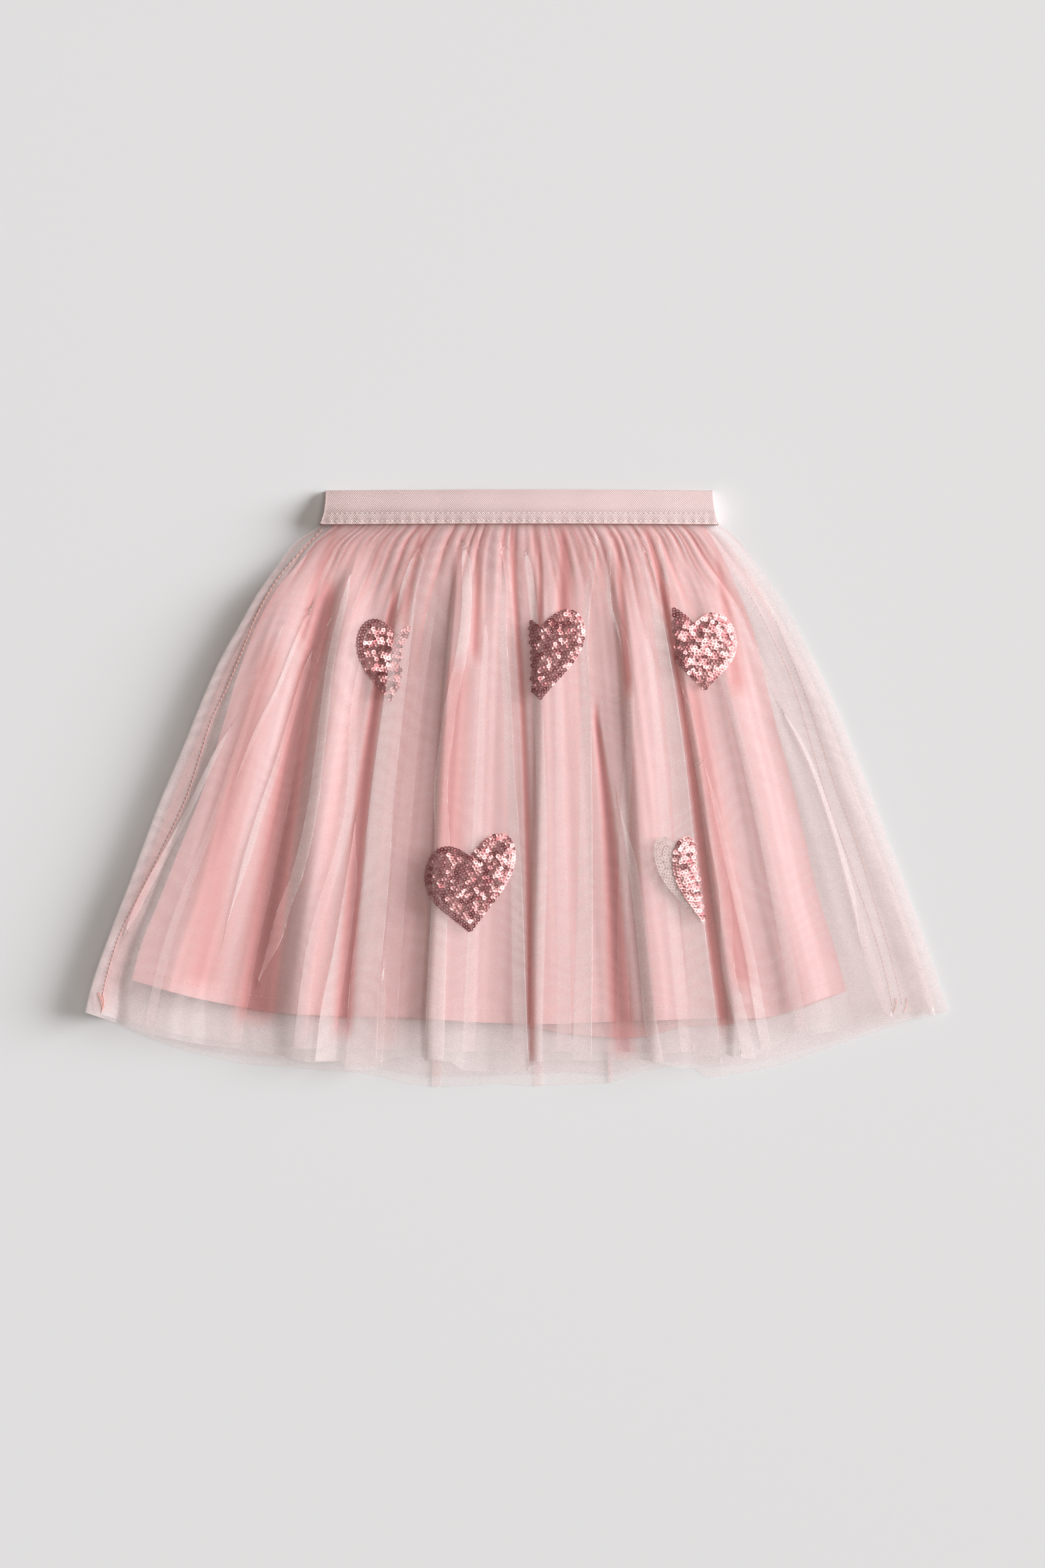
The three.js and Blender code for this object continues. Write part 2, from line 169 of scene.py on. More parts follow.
@dataclass(frozen=True)
class Outline:
    """A layer's flat outline.

    Attributes:
        left: its left edge, as pairs of a distance down and a place across.
        right: its right edge.
        hem: its hem, as pairs of a place across and a distance down.
        inset: how far inside its side edges it lies.
    """

    left: Points
    right: Points
    hem: Points
    inset: float = 0.0

    def edges(self, down: np.ndarray) -> tuple[np.ndarray, np.ndarray]:
        """Gives the left and right edge at each distance down."""
        return curve_through(self.left, down) + self.inset, curve_through(self.right, down) - self.inset

    def hem_at(self, x: np.ndarray) -> np.ndarray:
        """Gives the hem's distance down at each place across."""
        return curve_through(self.hem, x)

    def inside(self, x: np.ndarray, down: np.ndarray, reach: float) -> np.ndarray:
        """Tells how far inside the side edges a point lies.

        Args:
            x: places across.
            down: places down.
            reach: the distance over which the answer goes from 0 at the edge to 1.

        Returns:
            Shares between 0 and 1.
        """
        left, right = self.edges(down)
        return smoothstep(0.0, reach, np.minimum(x - left, right - x))


TULLE_LEFT: Points = [
    (14, -118), (21.7, -122.6), (30.3, -135.7), (47.6, -149.2), (64, -160.3), (83.6, -171.4),
    (103.3, -182.5), (127.5, -193.5), (154.2, -204.2), (191, -219.8), (239.9, -238.2), (273, -250.9),
    (306.3, -262.4), (322, -266),
]
TULLE_RIGHT: Points = [
    (14, 119), (22, 124), (27, 130.4), (43.5, 144.7), (59.9, 157), (76.3, 167.3), (92.7, 175.5),
    (125.5, 191.9), (158.3, 205.4), (207.5, 224.3), (256.7, 242.7), (289.5, 254.2), (305.9, 259.5),
    (322, 265.5),
]
LINING_LEFT: Points = [
    (14, -108), (30, -122), (59.5, -147.2), (111.1, -171.4), (139.8, -180), (183.7, -193.5),
    (221.8, -208.7), (253.8, -221.4), (279.6, -231.7), (302, -237.5),
]
LINING_RIGHT: Points = [
    (14, 108), (30, 119), (60, 134), (90, 145), (123, 152.9), (148.4, 159.1), (171.4, 165.6),
    (209.1, 174.7), (252.6, 184.9), (278, 193.1), (310, 202),
]
OUTER_FRONT = Outline(
    TULLE_LEFT,
    TULLE_RIGHT,
    [(-266, 320), (-240, 329), (-200, 339), (-150, 346), (-124, 351), (-113, 350), (-110, 350.5),
     (-107, 353), (-104, 354.5), (-90, 354.5), (-87, 353.5), (-84, 350.5), (-81, 349.5), (-45, 350),
     (-41, 350.5), (-38, 353.5), (-35, 355.5), (-31, 356), (0, 356), (4, 355.5), (7, 353), (10, 350.5),
     (14, 350), (44, 350), (80, 350), (110, 353.5), (123, 346), (136, 349), (160, 339), (200, 331),
     (240, 325), (265, 320.5)],
)
INNER_FRONT = Outline(
    TULLE_LEFT,
    TULLE_RIGHT,
    [(-258, 318), (-230, 328), (-190, 337), (-140, 342), (-90, 343), (-40, 344.5), (10, 344), (60, 345),
     (110, 344), (150, 335), (200, 328), (240, 321), (258, 318)],
    inset=7.5,
)
LINING_FRONT = Outline(
    LINING_LEFT,
    LINING_RIGHT,
    [(-237, 300.5), (-193.5, 312.8), (-161, 319), (-122.6, 322.3), (-55.8, 324.3), (-29.9, 326.4),
     (8.6, 327.6), (91.4, 325.1), (123, 324.3), (159.1, 322.3), (180.8, 314), (201.7, 307.5)],
)
LINING_BACK = Outline(
    LINING_LEFT,
    LINING_RIGHT,
    [(-237, 301.5), (-161, 320), (-55.8, 326), (0, 329), (30, 334), (82, 335), (100, 330), (123, 329),
     (159.1, 323), (201.7, 308)],
    inset=0.6,
)
INNER_BACK = Outline(
    TULLE_LEFT,
    TULLE_RIGHT,
    [(-258, 321), (-212.8, 339), (-142.3, 350), (-91.4, 354), (-65, 359), (-16, 360), (33, 358),
     (60, 359), (84, 352), (131, 354), (187, 341), (235, 326), (258, 319)],
    inset=6.5,
)
OUTER_BACK = Outline(
    TULLE_LEFT,
    TULLE_RIGHT,
    [(-266, 320), (-238, 332.5), (-212.8, 342.4), (-190.7, 348.5), (-167.7, 353), (-142.3, 355),
     (-122.6, 356.7), (-91.4, 359.6), (-65.2, 365.7), (-40.6, 367), (-16, 365.3), (8.6, 366.5),
     (33.2, 365.7), (56.2, 364.5), (84.5, 356.5), (109.9, 357), (112.8, 359.6), (131.6, 359.2),
     (156.2, 355), (187.4, 344.8), (213.2, 335.8), (234.9, 328.8), (245.2, 324.3), (265.5, 320.6)],
    inset=0.4,
)


@dataclass(frozen=True)
class Fold:
    """One pleat of tulle laid over itself.

    Attributes:
        path: the crisp edge, as pairs of a distance down and a place across.
        side: which way the edge looks.
        overlap: how far the cloth lies over itself at the top and at the bottom.
        rise: how high the pleat stands there.
        reach: how far behind its edge it lies down again.
        fade: how far from each end of the path it opens and closes.
    """

    path: Points
    side: Side
    overlap: tuple[float, float] = (3.0, 6.0)
    rise: float = 2.4
    reach: float = 26.0
    fade: tuple[float, float] = (14.0, 0.0)

    LEAST_OPEN = 0.3

    @property
    def ends(self) -> tuple[float, float]:
        """Gives the distances down at which the edge starts and ends."""
        return self.path[0][0], self.path[-1][0]

    def strength(self, down: np.ndarray) -> np.ndarray:
        """Gives how far the fold has opened at each distance down, from 0 to 1."""
        first, last = self.ends
        opened = smoothstep(first - 1, first + self.fade[0], down)
        if self.fade[1] > 0:
            opened = opened * (1 - smoothstep(last - self.fade[1], last + 1, down))
        return opened

    def edge(self, down: np.ndarray) -> np.ndarray:
        """Gives where the crisp edge lies, running on up and down with the cloth past its ends."""
        held = np.clip(down, *self.ends)
        spread = curve_through(TULLE_RIGHT, down) / curve_through(TULLE_RIGHT, held)
        return curve_through(self.path, held) * spread

    def share_at(self, down: float) -> float:
        """Gives the edge's place as a share of the half width, as near a distance as the fold reaches."""
        held = np.clip(np.array(down), *self.ends)
        return float(curve_through(self.path, held) / curve_through(TULLE_RIGHT, held))

    def strip(self, down: np.ndarray) -> tuple[np.ndarray, np.ndarray]:
        """Gives the middle and the half width of the strip of cloth that is turned over."""
        first, last = self.ends
        overlap = between(self.overlap, np.clip((down - first) / (last - first), 0, 1))
        overlap = overlap * np.maximum(self.strength(down), self.LEAST_OPEN)
        return self.edge(down) - self.side.value * overlap / 2, overlap / TURN_SPAN

    def lay(self, x: np.ndarray, down: np.ndarray) -> tuple[np.ndarray, np.ndarray]:
        """Lays the pleat.

        Args:
            x: where the cloth would lie unfolded.
            down: its distances down.

        Returns:
            How far each point moves across, and how far up.
        """
        opened = self.strength(down)
        middle, half = self.strip(down)
        t = (x - middle) / half
        shift = -2.0 * half * np.sin(math.pi * np.clip(t, -1, 1)) * opened
        side = self.side.value
        lift = smoothstep(-0.6, 0.6, -side * t) * swell(-side * (x - middle) / self.reach)
        return shift, lift * self.rise * opened


@dataclass(frozen=True)
class Gathers:
    """Soft tubes of cloth that run down from the band and die away, each with its own width and length.

    Attributes:
        seed: seeds their widths, heights and lengths.
        width: the least and the most width of a tube under the band.
        rise: the height of a full one.
        length: the least and the most length of one.
    """

    seed: int
    width: tuple[float, float]
    rise: float
    length: tuple[float, float]

    HALF_SPAN = 121.0
    HALF_BAND = 119.0

    def tubes(self) -> tuple[np.ndarray, np.ndarray, np.ndarray]:
        """Sets out where the tubes meet under the band, their heights and their lengths."""
        rng = random.Random(self.seed)
        bounds, rises, lengths = [-self.HALF_SPAN], [], []
        while bounds[-1] < self.HALF_SPAN:
            width = between(self.width, rng.random() ** 1.7)
            fullness = width / self.width[1]
            bounds.append(bounds[-1] + width)
            rises.append(self.rise * rng.uniform(0.55, 1.1) * math.sqrt(fullness))
            lengths.append(rng.uniform(*self.length) * (0.5 + 0.8 * fullness))
        return np.array(bounds), np.array(rises), np.array(lengths)

    def height(self, x: np.ndarray, down: np.ndarray, gaps: bool = False) -> np.ndarray:
        """Gives the tubes' height at each point, or how deep in the gap between two tubes it lies, which
        sets painted shade there.
        """
        bounds, rises, lengths = self.tubes()
        left, right = OUTER_FRONT.edges(down)
        across = self.HALF_BAND * np.where(x < 0, x / -left, x / right)
        across = across + 1.6 * np.sin(down / 19.0 + x * 0.05)
        number = np.clip(np.searchsorted(bounds, across) - 1, 0, len(rises) - 1)
        t = np.clip((across - bounds[number]) / (bounds[number + 1] - bounds[number]), 0, 1)
        fading = 1 - smoothstep(0.15, 1.0, (down - 20) / lengths[number])
        rising = 0.45 + 0.55 * smoothstep(18, 30, down)
        if gaps:
            return (1 - np.sin(math.pi * t)) ** 1.6 * fading * rising
        return rises[number] * fading * rising * np.sin(math.pi * t) ** 0.75


@dataclass(frozen=True)
class Strip:
    """A long soft strip of a panel.

    Attributes:
        path: its middle, as pairs of a distance down and a place across.
        left: its width on the left of the middle, at the top and at the bottom.
        right: and on the right.
        size: how high or how deep it is.
    """

    path: Points
    left: tuple[float, float]
    right: tuple[float, float]
    size: float

    def profile(self, x: np.ndarray, down: np.ndarray, along: np.ndarray) -> np.ndarray:
        """Gives the strip's size in its middle, easing to 0 at its sides.

        Args:
            x: places across.
            down: places down.
            along: how far along the strip those are, from 0 to 1.

        Returns:
            Heights or depths.
        """
        away = x - curve_through(self.path, down)
        share = np.where(away < 0, -away / between(self.left, along), away / between(self.right, along))
        return self.size * swell(share)


class Ridge(Strip):
    """A soft swell of cloth."""

    def height(self, x: np.ndarray, down: np.ndarray) -> np.ndarray:
        """Gives the swell's height at each point."""
        return self.profile(x, down, np.clip(down / SKIRT_LENGTH, 0, 1))


LINING_RIDGES = [
    Ridge([(60, -150), (150, -165), (250, -190), (320, -206)], (20, 46), (24, 38), 3.2),
    Ridge([(60, -104), (150, -117), (250, -128), (320, -136)], (10, 18), (16, 26), 5.6),
    Ridge([(60, -38), (150, -45), (250, -50), (320, -54)], (4, 7), (34, 50), 5.2),
    Ridge([(60, 14), (150, 14), (250, 12), (320, 10)], (6, 6), (24, 34), 4.0),
    Ridge([(60, 62), (90, 66), (161, 71), (250, 77), (320, 84)], (7, 11), (22, 28), 5.0),
    Ridge([(60, 90), (150, 108), (250, 122), (320, 132)], (4, 6), (18, 34), 3.4),
    Ridge([(60, 115), (150, 138), (250, 160), (320, 174)], (16, 30), (26, 46), 3.8),
]


class Hollow(Strip):
    """A long dent between pleats, pressed into the lining, whose depth also paints shade and a fuller colour
    for bounced light into the cloth.
    """

    def depth(self, x: np.ndarray, down: np.ndarray) -> np.ndarray:
        """Gives how deep the dent is at each point, from 0 to 1."""
        first, last = self.path[0][0], self.path[-1][0]
        along = np.clip((down - first) / (last - first), 0, 1)
        opened = smoothstep(first - 16, first + 10, down) * (1 - smoothstep(last - 4, last + 12, down))
        return opened * self.profile(x, down, along)


# Dents between pleats, which press the lining down and paint shade and bounced light into the cloth's colour
HOLLOWS = [
    Hollow([(62, -117), (120, -130), (170, -139), (252, -151), (322, -160)], (9, 24), (8, 17), 1.0),
    Hollow([(66, -77), (80, -80), (150, -91), (212, -98), (273, -103), (330, -107)], (3, 12), (5, 7), 0.9),
    Hollow([(90, -60), (160, -66), (211, -69), (298, -76), (335, -80)], (16, 24), (15, 26), 0.16),
    Hollow([(110, -38), (170, -42), (228, -44)], (10, 14), (14, 18), 0.44),
    Hollow([(24, -4), (60, -3), (120, 1), (200, 4.2), (290, 6), (350, 7)], (3, 2.5), (3, 5), 0.62),
    Hollow([(140, 47), (200, 54), (252, 58), (300, 61), (345, 65)], (3, 13), (3, 12), 0.95),
    Hollow([(24, 78), (60, 87), (120, 98), (171, 105), (209, 109.5), (241, 113), (273, 117), (330, 125)],
           (3, 4), (4, 8), 0.62),
    Hollow([(120, 106), (170, 114), (232, 124), (300, 135)], (6, 10), (9, 16), 0.45),
    Hollow([(100, -152), (191, -177), (300, -196)], (14, 22), (12, 18), 0.35),
    Hollow([(26, 27), (60, 27), (92, 26)], (4, 7), (6, 9), 0.75),
    Hollow([(30, 60), (70, 63), (120, 67)], (3, 5), (3, 4), 0.55),
    Hollow([(44, 122), (80, 128), (120, 133)], (4, 8), (4, 10), 0.5),
    Hollow([(30, -26), (60, -26), (100, -27)], (3, 5), (4, 6), 0.55),
    Hollow([(26, -60), (56, -66), (84, -70)], (3, 4), (3, 4), 0.6),
    Hollow([(30, 12), (60, 13), (80, 13)], (2, 3), (2, 3), 0.6),
    Hollow([(24, -112), (50, -122), (90, -132)], (5, 8), (4, 6), 0.45),
    Hollow([(90, -92), (171, -109), (273, -121), (330, -127)], (7, 10), (8, 10), 0.2),
    Hollow([(60, -152), (110, -179), (178, -206), (237, -229), (281, -246), (316, -257)], (8, 14),
                                                                                          (10, 14), 0.45),
]


def hollow_depth(x: np.ndarray, down: np.ndarray) -> np.ndarray:
    """Gives how deep in a dent each point lies, from 0 to 1."""
    deepest = np.zeros_like(x)
    for shaded_hollow in HOLLOWS:
        deepest = np.maximum(deepest, shaded_hollow.depth(x, down))
    return deepest


OUTER_FOLDS = [
    Fold([(132, -168), (154, -182.5), (175, -193.5), (196, -203.8), (224, -218.9), (250, -232.9),
          (285, -248)],
         Side.LEFT, (3, 5), 2.2, 24, (30, 30)),
    Fold([(62.7, -124), (95.5, -138.6), (122, -149.2), (145, -160.5), (200, -182)],
         Side.LEFT, (2.5, 3), 1.8, 20, (14, 50)),
    Fold([(90, -125), (120, -135.3), (145, -142.7), (171, -150.9), (193.5, -158.7), (222, -167.7),
          (290, -186)],
         Side.LEFT, (3, 5), 2.4, 24, (20, 70)),
    Fold([(36, -99), (48, -102.9), (99, -116), (161, -124.6), (191, -128.8), (218, -134.5), (239, -140.6),
          (255, -147.2), (273, -152.5), (320, -168)],
         Side.LEFT, (3, 9), 3.0, 26, (34, 50)),
    Fold([(182, -98), (209, -102), (259, -109.5), (289, -115.2), (316, -121), (356, -125.5)],
         Side.LEFT, (4, 13), 2.6, 16, (60, 0)),
    Fold([(30, -61.5), (62.7, -73), (87, -76.3), (129, -82.8), (161, -87.3), (192, -91.4), (228, -94.7),
          (266, -99.2), (298, -103.3), (356, -107.6)],
         Side.LEFT, (9, 20), 2.9, 34, (16, 0)),
    Fold([(280, -83), (311, -82), (356, -84.2)], Side.RIGHT, (3, 6), 1.2, 14, (30, 0)),
    Fold([(24, -36), (52, -34.9), (76, -35.3), (107, -39.8), (129, -44.7), (150, -48), (184, -52.1),
          (215, -51.6), (250, -53.3), (298, -55.8), (356, -58.5)],
         Side.LEFT, (5, 12), 3.8, 30, (22, 0)),
    Fold([(24, -12.7), (52, -8.2), (95, -7.4), (129, -4.9), (173, -2.9), (222, 0.8), (260, 2.5),
          (298, 3.7), (356, 5.7)],
         Side.RIGHT, (3, 9), 3.2, 30, (40, 0)),
    Fold([(26, 1), (60, 5), (95, 8), (130, 8.8), (171, 10.3), (228, 10.7), (286, 8.2), (337, 6.4),
          (356, 6)],
         Side.LEFT, (4, 8), 1.1, 18, (24, 0)),
    Fold([(22, 48), (48, 46.5), (62, 44.5), (94, 42), (120, 43.4), (171, 44.3), (234, 44.7), (286, 44.7),
          (356, 44.3)],
         Side.RIGHT, (3, 12), 3.4, 26, (22, 0)),
    Fold([(22, 58), (46, 56), (72, 57), (87, 61), (112, 65)], Side.RIGHT, (2.5, 2.5), 1.5, 12, (24, 40)),
    Fold([(171, 56.2), (222, 65.2), (260, 70.5), (298, 74.2), (324, 76.3), (352, 81)],
         Side.LEFT, (4, 8), 1.8, 24, (60, 0)),
    Fold([(24, 73.4), (54, 83.2), (85, 89), (123, 95.5), (171, 102.1), (209, 106.2), (241, 109.9),
          (266, 113.2), (298, 117.7), (356, 124.6)],
         Side.RIGHT, (4, 17), 3.8, 36, (22, 0)),
    Fold([(24, 85.5), (63, 92.2), (110, 96)], Side.RIGHT, (2, 2), 1.2, 8, (12, 60)),
    Fold([(110, 97), (160, 105.8), (203, 114), (247, 122), (301, 125.5), (324, 131.2), (352, 136.8)],
         Side.LEFT, (4, 9), 1.4, 26, (30, 0)),
    Fold([(150, 108.5), (171, 113.2), (222, 124.2), (260, 132.8), (292, 139.4), (312, 142.7), (345, 148)],
         Side.LEFT, (3, 7), 1.8, 26, (50, 0)),
    Fold([(122, 153), (160, 174), (200, 189), (250, 203), (300, 213)], Side.LEFT, (2.5, 4),
          1.8, 24, (30, 60)),
    Fold([(60, 148), (110, 176), (178, 203.5), (237, 226.5), (281, 243), (322, 256)],
         Side.RIGHT, (2, 4), 1.4, 16, (60, 0)),
]

INNER_FOLDS = [
    Fold([(60, -136), (120, -160), (200, -188), (280, -218), (340, -232)], Side.LEFT, (2.5, 6),
          1.5, 26, (40, 0)),
    Fold([(60, -108), (120, -128), (200, -143), (280, -160), (345, -172)], Side.RIGHT, (3, 8),
          1.5, 24, (40, 0)),
    Fold([(60, -84), (120, -101), (200, -108), (280, -130), (345, -139)], Side.LEFT, (3, 8),
          1.5, 26, (40, 0)),
    Fold([(60, -48), (120, -58), (200, -66), (280, -72), (345, -76)], Side.RIGHT, (4, 12),
          1.5, 20, (40, 0)),
    Fold([(60, -20), (120, -24), (200, -28), (280, -32), (345, -35)], Side.LEFT, (3, 8), 1.4, 24, (40, 0)),
    Fold([(60, 20), (120, 26), (200, 28), (280, 31), (345, 32)], Side.RIGHT, (3, 9), 1.4, 20, (40, 0)),
    Fold([(60, 58), (120, 66), (200, 62), (280, 60), (345, 60)], Side.LEFT, (3, 8), 1.5, 26, (40, 0)),
    Fold([(60, 76), (120, 84), (200, 92), (280, 100), (345, 108)], Side.RIGHT, (3, 9), 1.4, 24, (40, 0)),
    Fold([(60, 104), (120, 124), (200, 144), (280, 160), (345, 172)], Side.LEFT, (3, 8), 1.4, 26, (40, 0)),
    Fold([(60, 126), (120, 158), (200, 192), (280, 216), (330, 232)], Side.RIGHT, (3, 6), 1.2, 24, (40, 0)),
]

BACK_FOLDS = [
    Fold([(60, -130), (150, -172), (250, -205), (350, -228)], Side.RIGHT, (1, 1.5), 0.4, 30, (50, 0)),
    Fold([(60, -40), (150, -46), (250, -50), (367, -54)], Side.LEFT, (3, 6), 0.7, 30, (50, 0)),
    Fold([(60, 4), (150, 6), (250, 11), (367, 15)], Side.RIGHT, (3, 6), 0.7, 30, (50, 0)),
    Fold([(60, 30), (150, 40), (250, 49), (362, 55)], Side.LEFT, (2, 3), 0.7, 30, (50, 0)),
]


def dome(x: np.ndarray, down: np.ndarray) -> np.ndarray:
    """Gives how far the cloth inside holds the front up, most in its middle and least at its hem."""
    left, right = OUTER_FRONT.edges(down)
    share = np.clip(np.abs(np.where(x < 0, x / left, x / right)), 0, 1)
    settled = 1 - 0.6 * smoothstep(220, 350, down)
    return DOME_RISE * (1 - share**2.2) * settled


class Layer(Enum):
    """The six layers of cloth, from the surface up.

    Each has its height in the band, in its middle, at its left edge and at its right edge, how far from an
    edge that height is reached, and 1 where the layer is held up by what is inside.
    """

    OUTER_BACK = (1.9, 0.35, 15.4, 2.2, 13.0, 0)
    INNER_BACK = (3.2, 1.7, 14.4, 1.6, 14.0, 0)
    LINING_BACK = (4.5, 3.2, 12.8, 2.4, 16.0, 0)
    LINING_FRONT = (5.9, 5.0, 14.8, 3.4, 60.0, 1)
    INNER_FRONT = (7.3, 6.9, 15.8, 2.4, 44.0, 1)
    OUTER_FRONT = (8.7, 8.6, 17.4, 3.4, 44.0, 1)

    def base(self, outline: Outline, x: np.ndarray, down: np.ndarray) -> np.ndarray:
        """Gives the layer's height before its folds.

        Args:
            outline: the layer's outline.
            x: places across.
            down: places down.

        Returns:
            Heights over the surface.
        """
        in_band, in_middle, at_left, at_right, reach, held_up = self.value
        below = smoothstep(22, 34, down)
        full = in_band + (in_middle - in_band) * below
        slack = smoothstep(24, 70, down)
        left, right = outline.edges(down)
        near_left = 1 - smoothstep(0, reach, x - left)
        near_right = 1 - smoothstep(0, reach, right - x)
        height = full + (at_left - full) * near_left * slack + (at_right - full) * near_right * slack
        return height + held_up * dome(x, down)


def lining_bearing(x: np.ndarray, down: np.ndarray) -> np.ndarray:
    """Gives the height of the lining's front, easing down past its edges, on which the net lies."""
    left, right = LINING_FRONT.edges(down)
    held = np.clip(x, left, right)
    height = Layer.LINING_FRONT.base(LINING_FRONT, held, down) + lining_relief(held, down)
    return height * (1 - smoothstep(0, 30, np.abs(x - held)))


def lining_relief(x: np.ndarray, down: np.ndarray) -> np.ndarray:
    """Gives the height of the lining's soft folds, which the net over it follows."""
    total = sum(ridge.height(x, down) for ridge in LINING_RIDGES)
    opened = smoothstep(24, 105, down)
    dents = HOLLOW_DEPTH * hollow_depth(x, down) * smoothstep(22, 60, down)
    return (total * opened - dents) * LINING_FRONT.inside(x, down, 26)


@dataclass(frozen=True)
class Relief:
    """How one layer of cloth rises and folds.

    Attributes:
        layer: its place in the pile.
        outline: its flat outline.
        folds: its pleats.
        gathers: its tubes under the band.
        follows: how much it follows the lining's soft folds.
        over_lining: how far over the lining it stays, or 0 where it needn't.
        crinkle: the height of its small creases.
        seed: seeds those creases.
        turned_hem: how much higher its hem stands, where it is turned up.
    """

    layer: Layer
    outline: Outline
    folds: list[Fold] = field(default_factory=list)
    gathers: Gathers | None = None
    follows: float = 0.0
    over_lining: float = 0.0
    crinkle: float = 0.0
    seed: int = 1
    turned_hem: float = 0.0

    SIDE_REACH = 12.0
    HEM_FOLD = 11.0

    def place(self, x: np.ndarray, down: np.ndarray) -> tuple[np.ndarray, np.ndarray]:
        """Places points of the layer.

        Args:
            x: where they would lie unfolded.
            down: their distances down.

        Returns:
            Where they lie across, and their heights.
        """
        shift = np.zeros_like(x)
        lift = np.zeros_like(x)
        side = self.outline.inside(x, down, self.SIDE_REACH)
        for fold in self.folds:
            across, up = fold.lay(x, down)
            shift += across
            lift += up
        moved = x + shift * side
        if self.gathers:
            lift += self.gathers.height(moved, down)
        height = self.layer.base(self.outline, moved, down) + lift * side
        if self.follows:
            height = height + self.follows * lining_relief(moved, down)
        if self.over_lining:
            height = np.maximum(height, lining_bearing(moved, down) + self.over_lining + lift * side * 0.5)
        if self.crinkle:
            share = x / np.maximum(1.0, self.outline.edges(down)[1])
            creases = streaks(9, self.seed, share, down, 0.05)
            height = height + self.crinkle * side * smoothstep(24, 60, down) * creases
        if self.turned_hem:
            below = down - self.outline.hem_at(x) + self.HEM_FOLD
            height = height + self.turned_hem * smoothstep(0, 1.5, below)
        return moved, height


def make_object(
    name: str, verts: np.ndarray, quads: np.ndarray, attributes: dict[str, np.ndarray], smooth: bool = True
) -> bpy.types.Object:
    """Makes a mesh object from arrays.

    Args:
        name: the piece's name.
        verts: its points in millimetres, in the row frame.
        quads: four indices a face.
        attributes: named values, one a point.
        smooth: whether its faces are shaded smooth.

    Returns:
        The object, in the scene.
    """
    mesh = bpy.data.meshes.new(name)
    mesh.vertices.add(len(verts))
    mesh.vertices.foreach_set("co", (verts * MM).astype(np.float32).ravel())
    mesh.loops.add(quads.size)
    mesh.loops.foreach_set("vertex_index", quads.astype(np.int32).ravel())
    mesh.polygons.add(len(quads))
    mesh.polygons.foreach_set("loop_start", np.arange(0, quads.size, quads.shape[1], dtype=np.int32))
    mesh.update(calc_edges=True)
    mesh.validate()
    mesh.polygons.foreach_set("use_smooth", np.full(len(mesh.polygons), smooth))
    for key, values in attributes.items():
        attribute = mesh.attributes.new(key, "FLOAT", "POINT")
        attribute.data.foreach_set("value", values.astype(np.float32).ravel())
    piece = bpy.data.objects.new(name, mesh)
    bpy.context.scene.collection.objects.link(piece)
    return piece


def dress(piece: bpy.types.Object, material: bpy.types.Material) -> bpy.types.Object:
    """Gives a piece its material and its body.

    Args:
        piece: the piece.
        material: its finish.

    Returns:
        The same piece.
    """
    piece.data.materials.append(material)
    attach(piece, "root")
    return piece


def grid_quads(rows: int, columns: int, start: int = 0) -> np.ndarray:
    """Numbers the faces of a grid of points, facing up where rows run down and columns run right."""
    index = start + np.arange(rows * columns).reshape(rows, columns)
    corners = (index[1:, :-1], index[1:, 1:], index[:-1, 1:], index[:-1, :-1])
    return np.stack([c.ravel() for c in corners], axis=1)


def slant_of(grid: np.ndarray) -> np.ndarray:
    """Tells how many times more thread lies over each point where the cloth slants.

    Args:
        grid: rows of columns of points.

    Returns:
        1 where the cloth is level, and more on its slopes and fold edges.
    """
    across = np.gradient(grid, axis=1)
    along = np.gradient(grid, axis=0)
    normal = np.cross(across, along)
    length = np.linalg.norm(normal, axis=2)
    return np.clip(length / np.maximum(np.abs(normal[..., 2]), 1e-9), 1.0, 6.0)


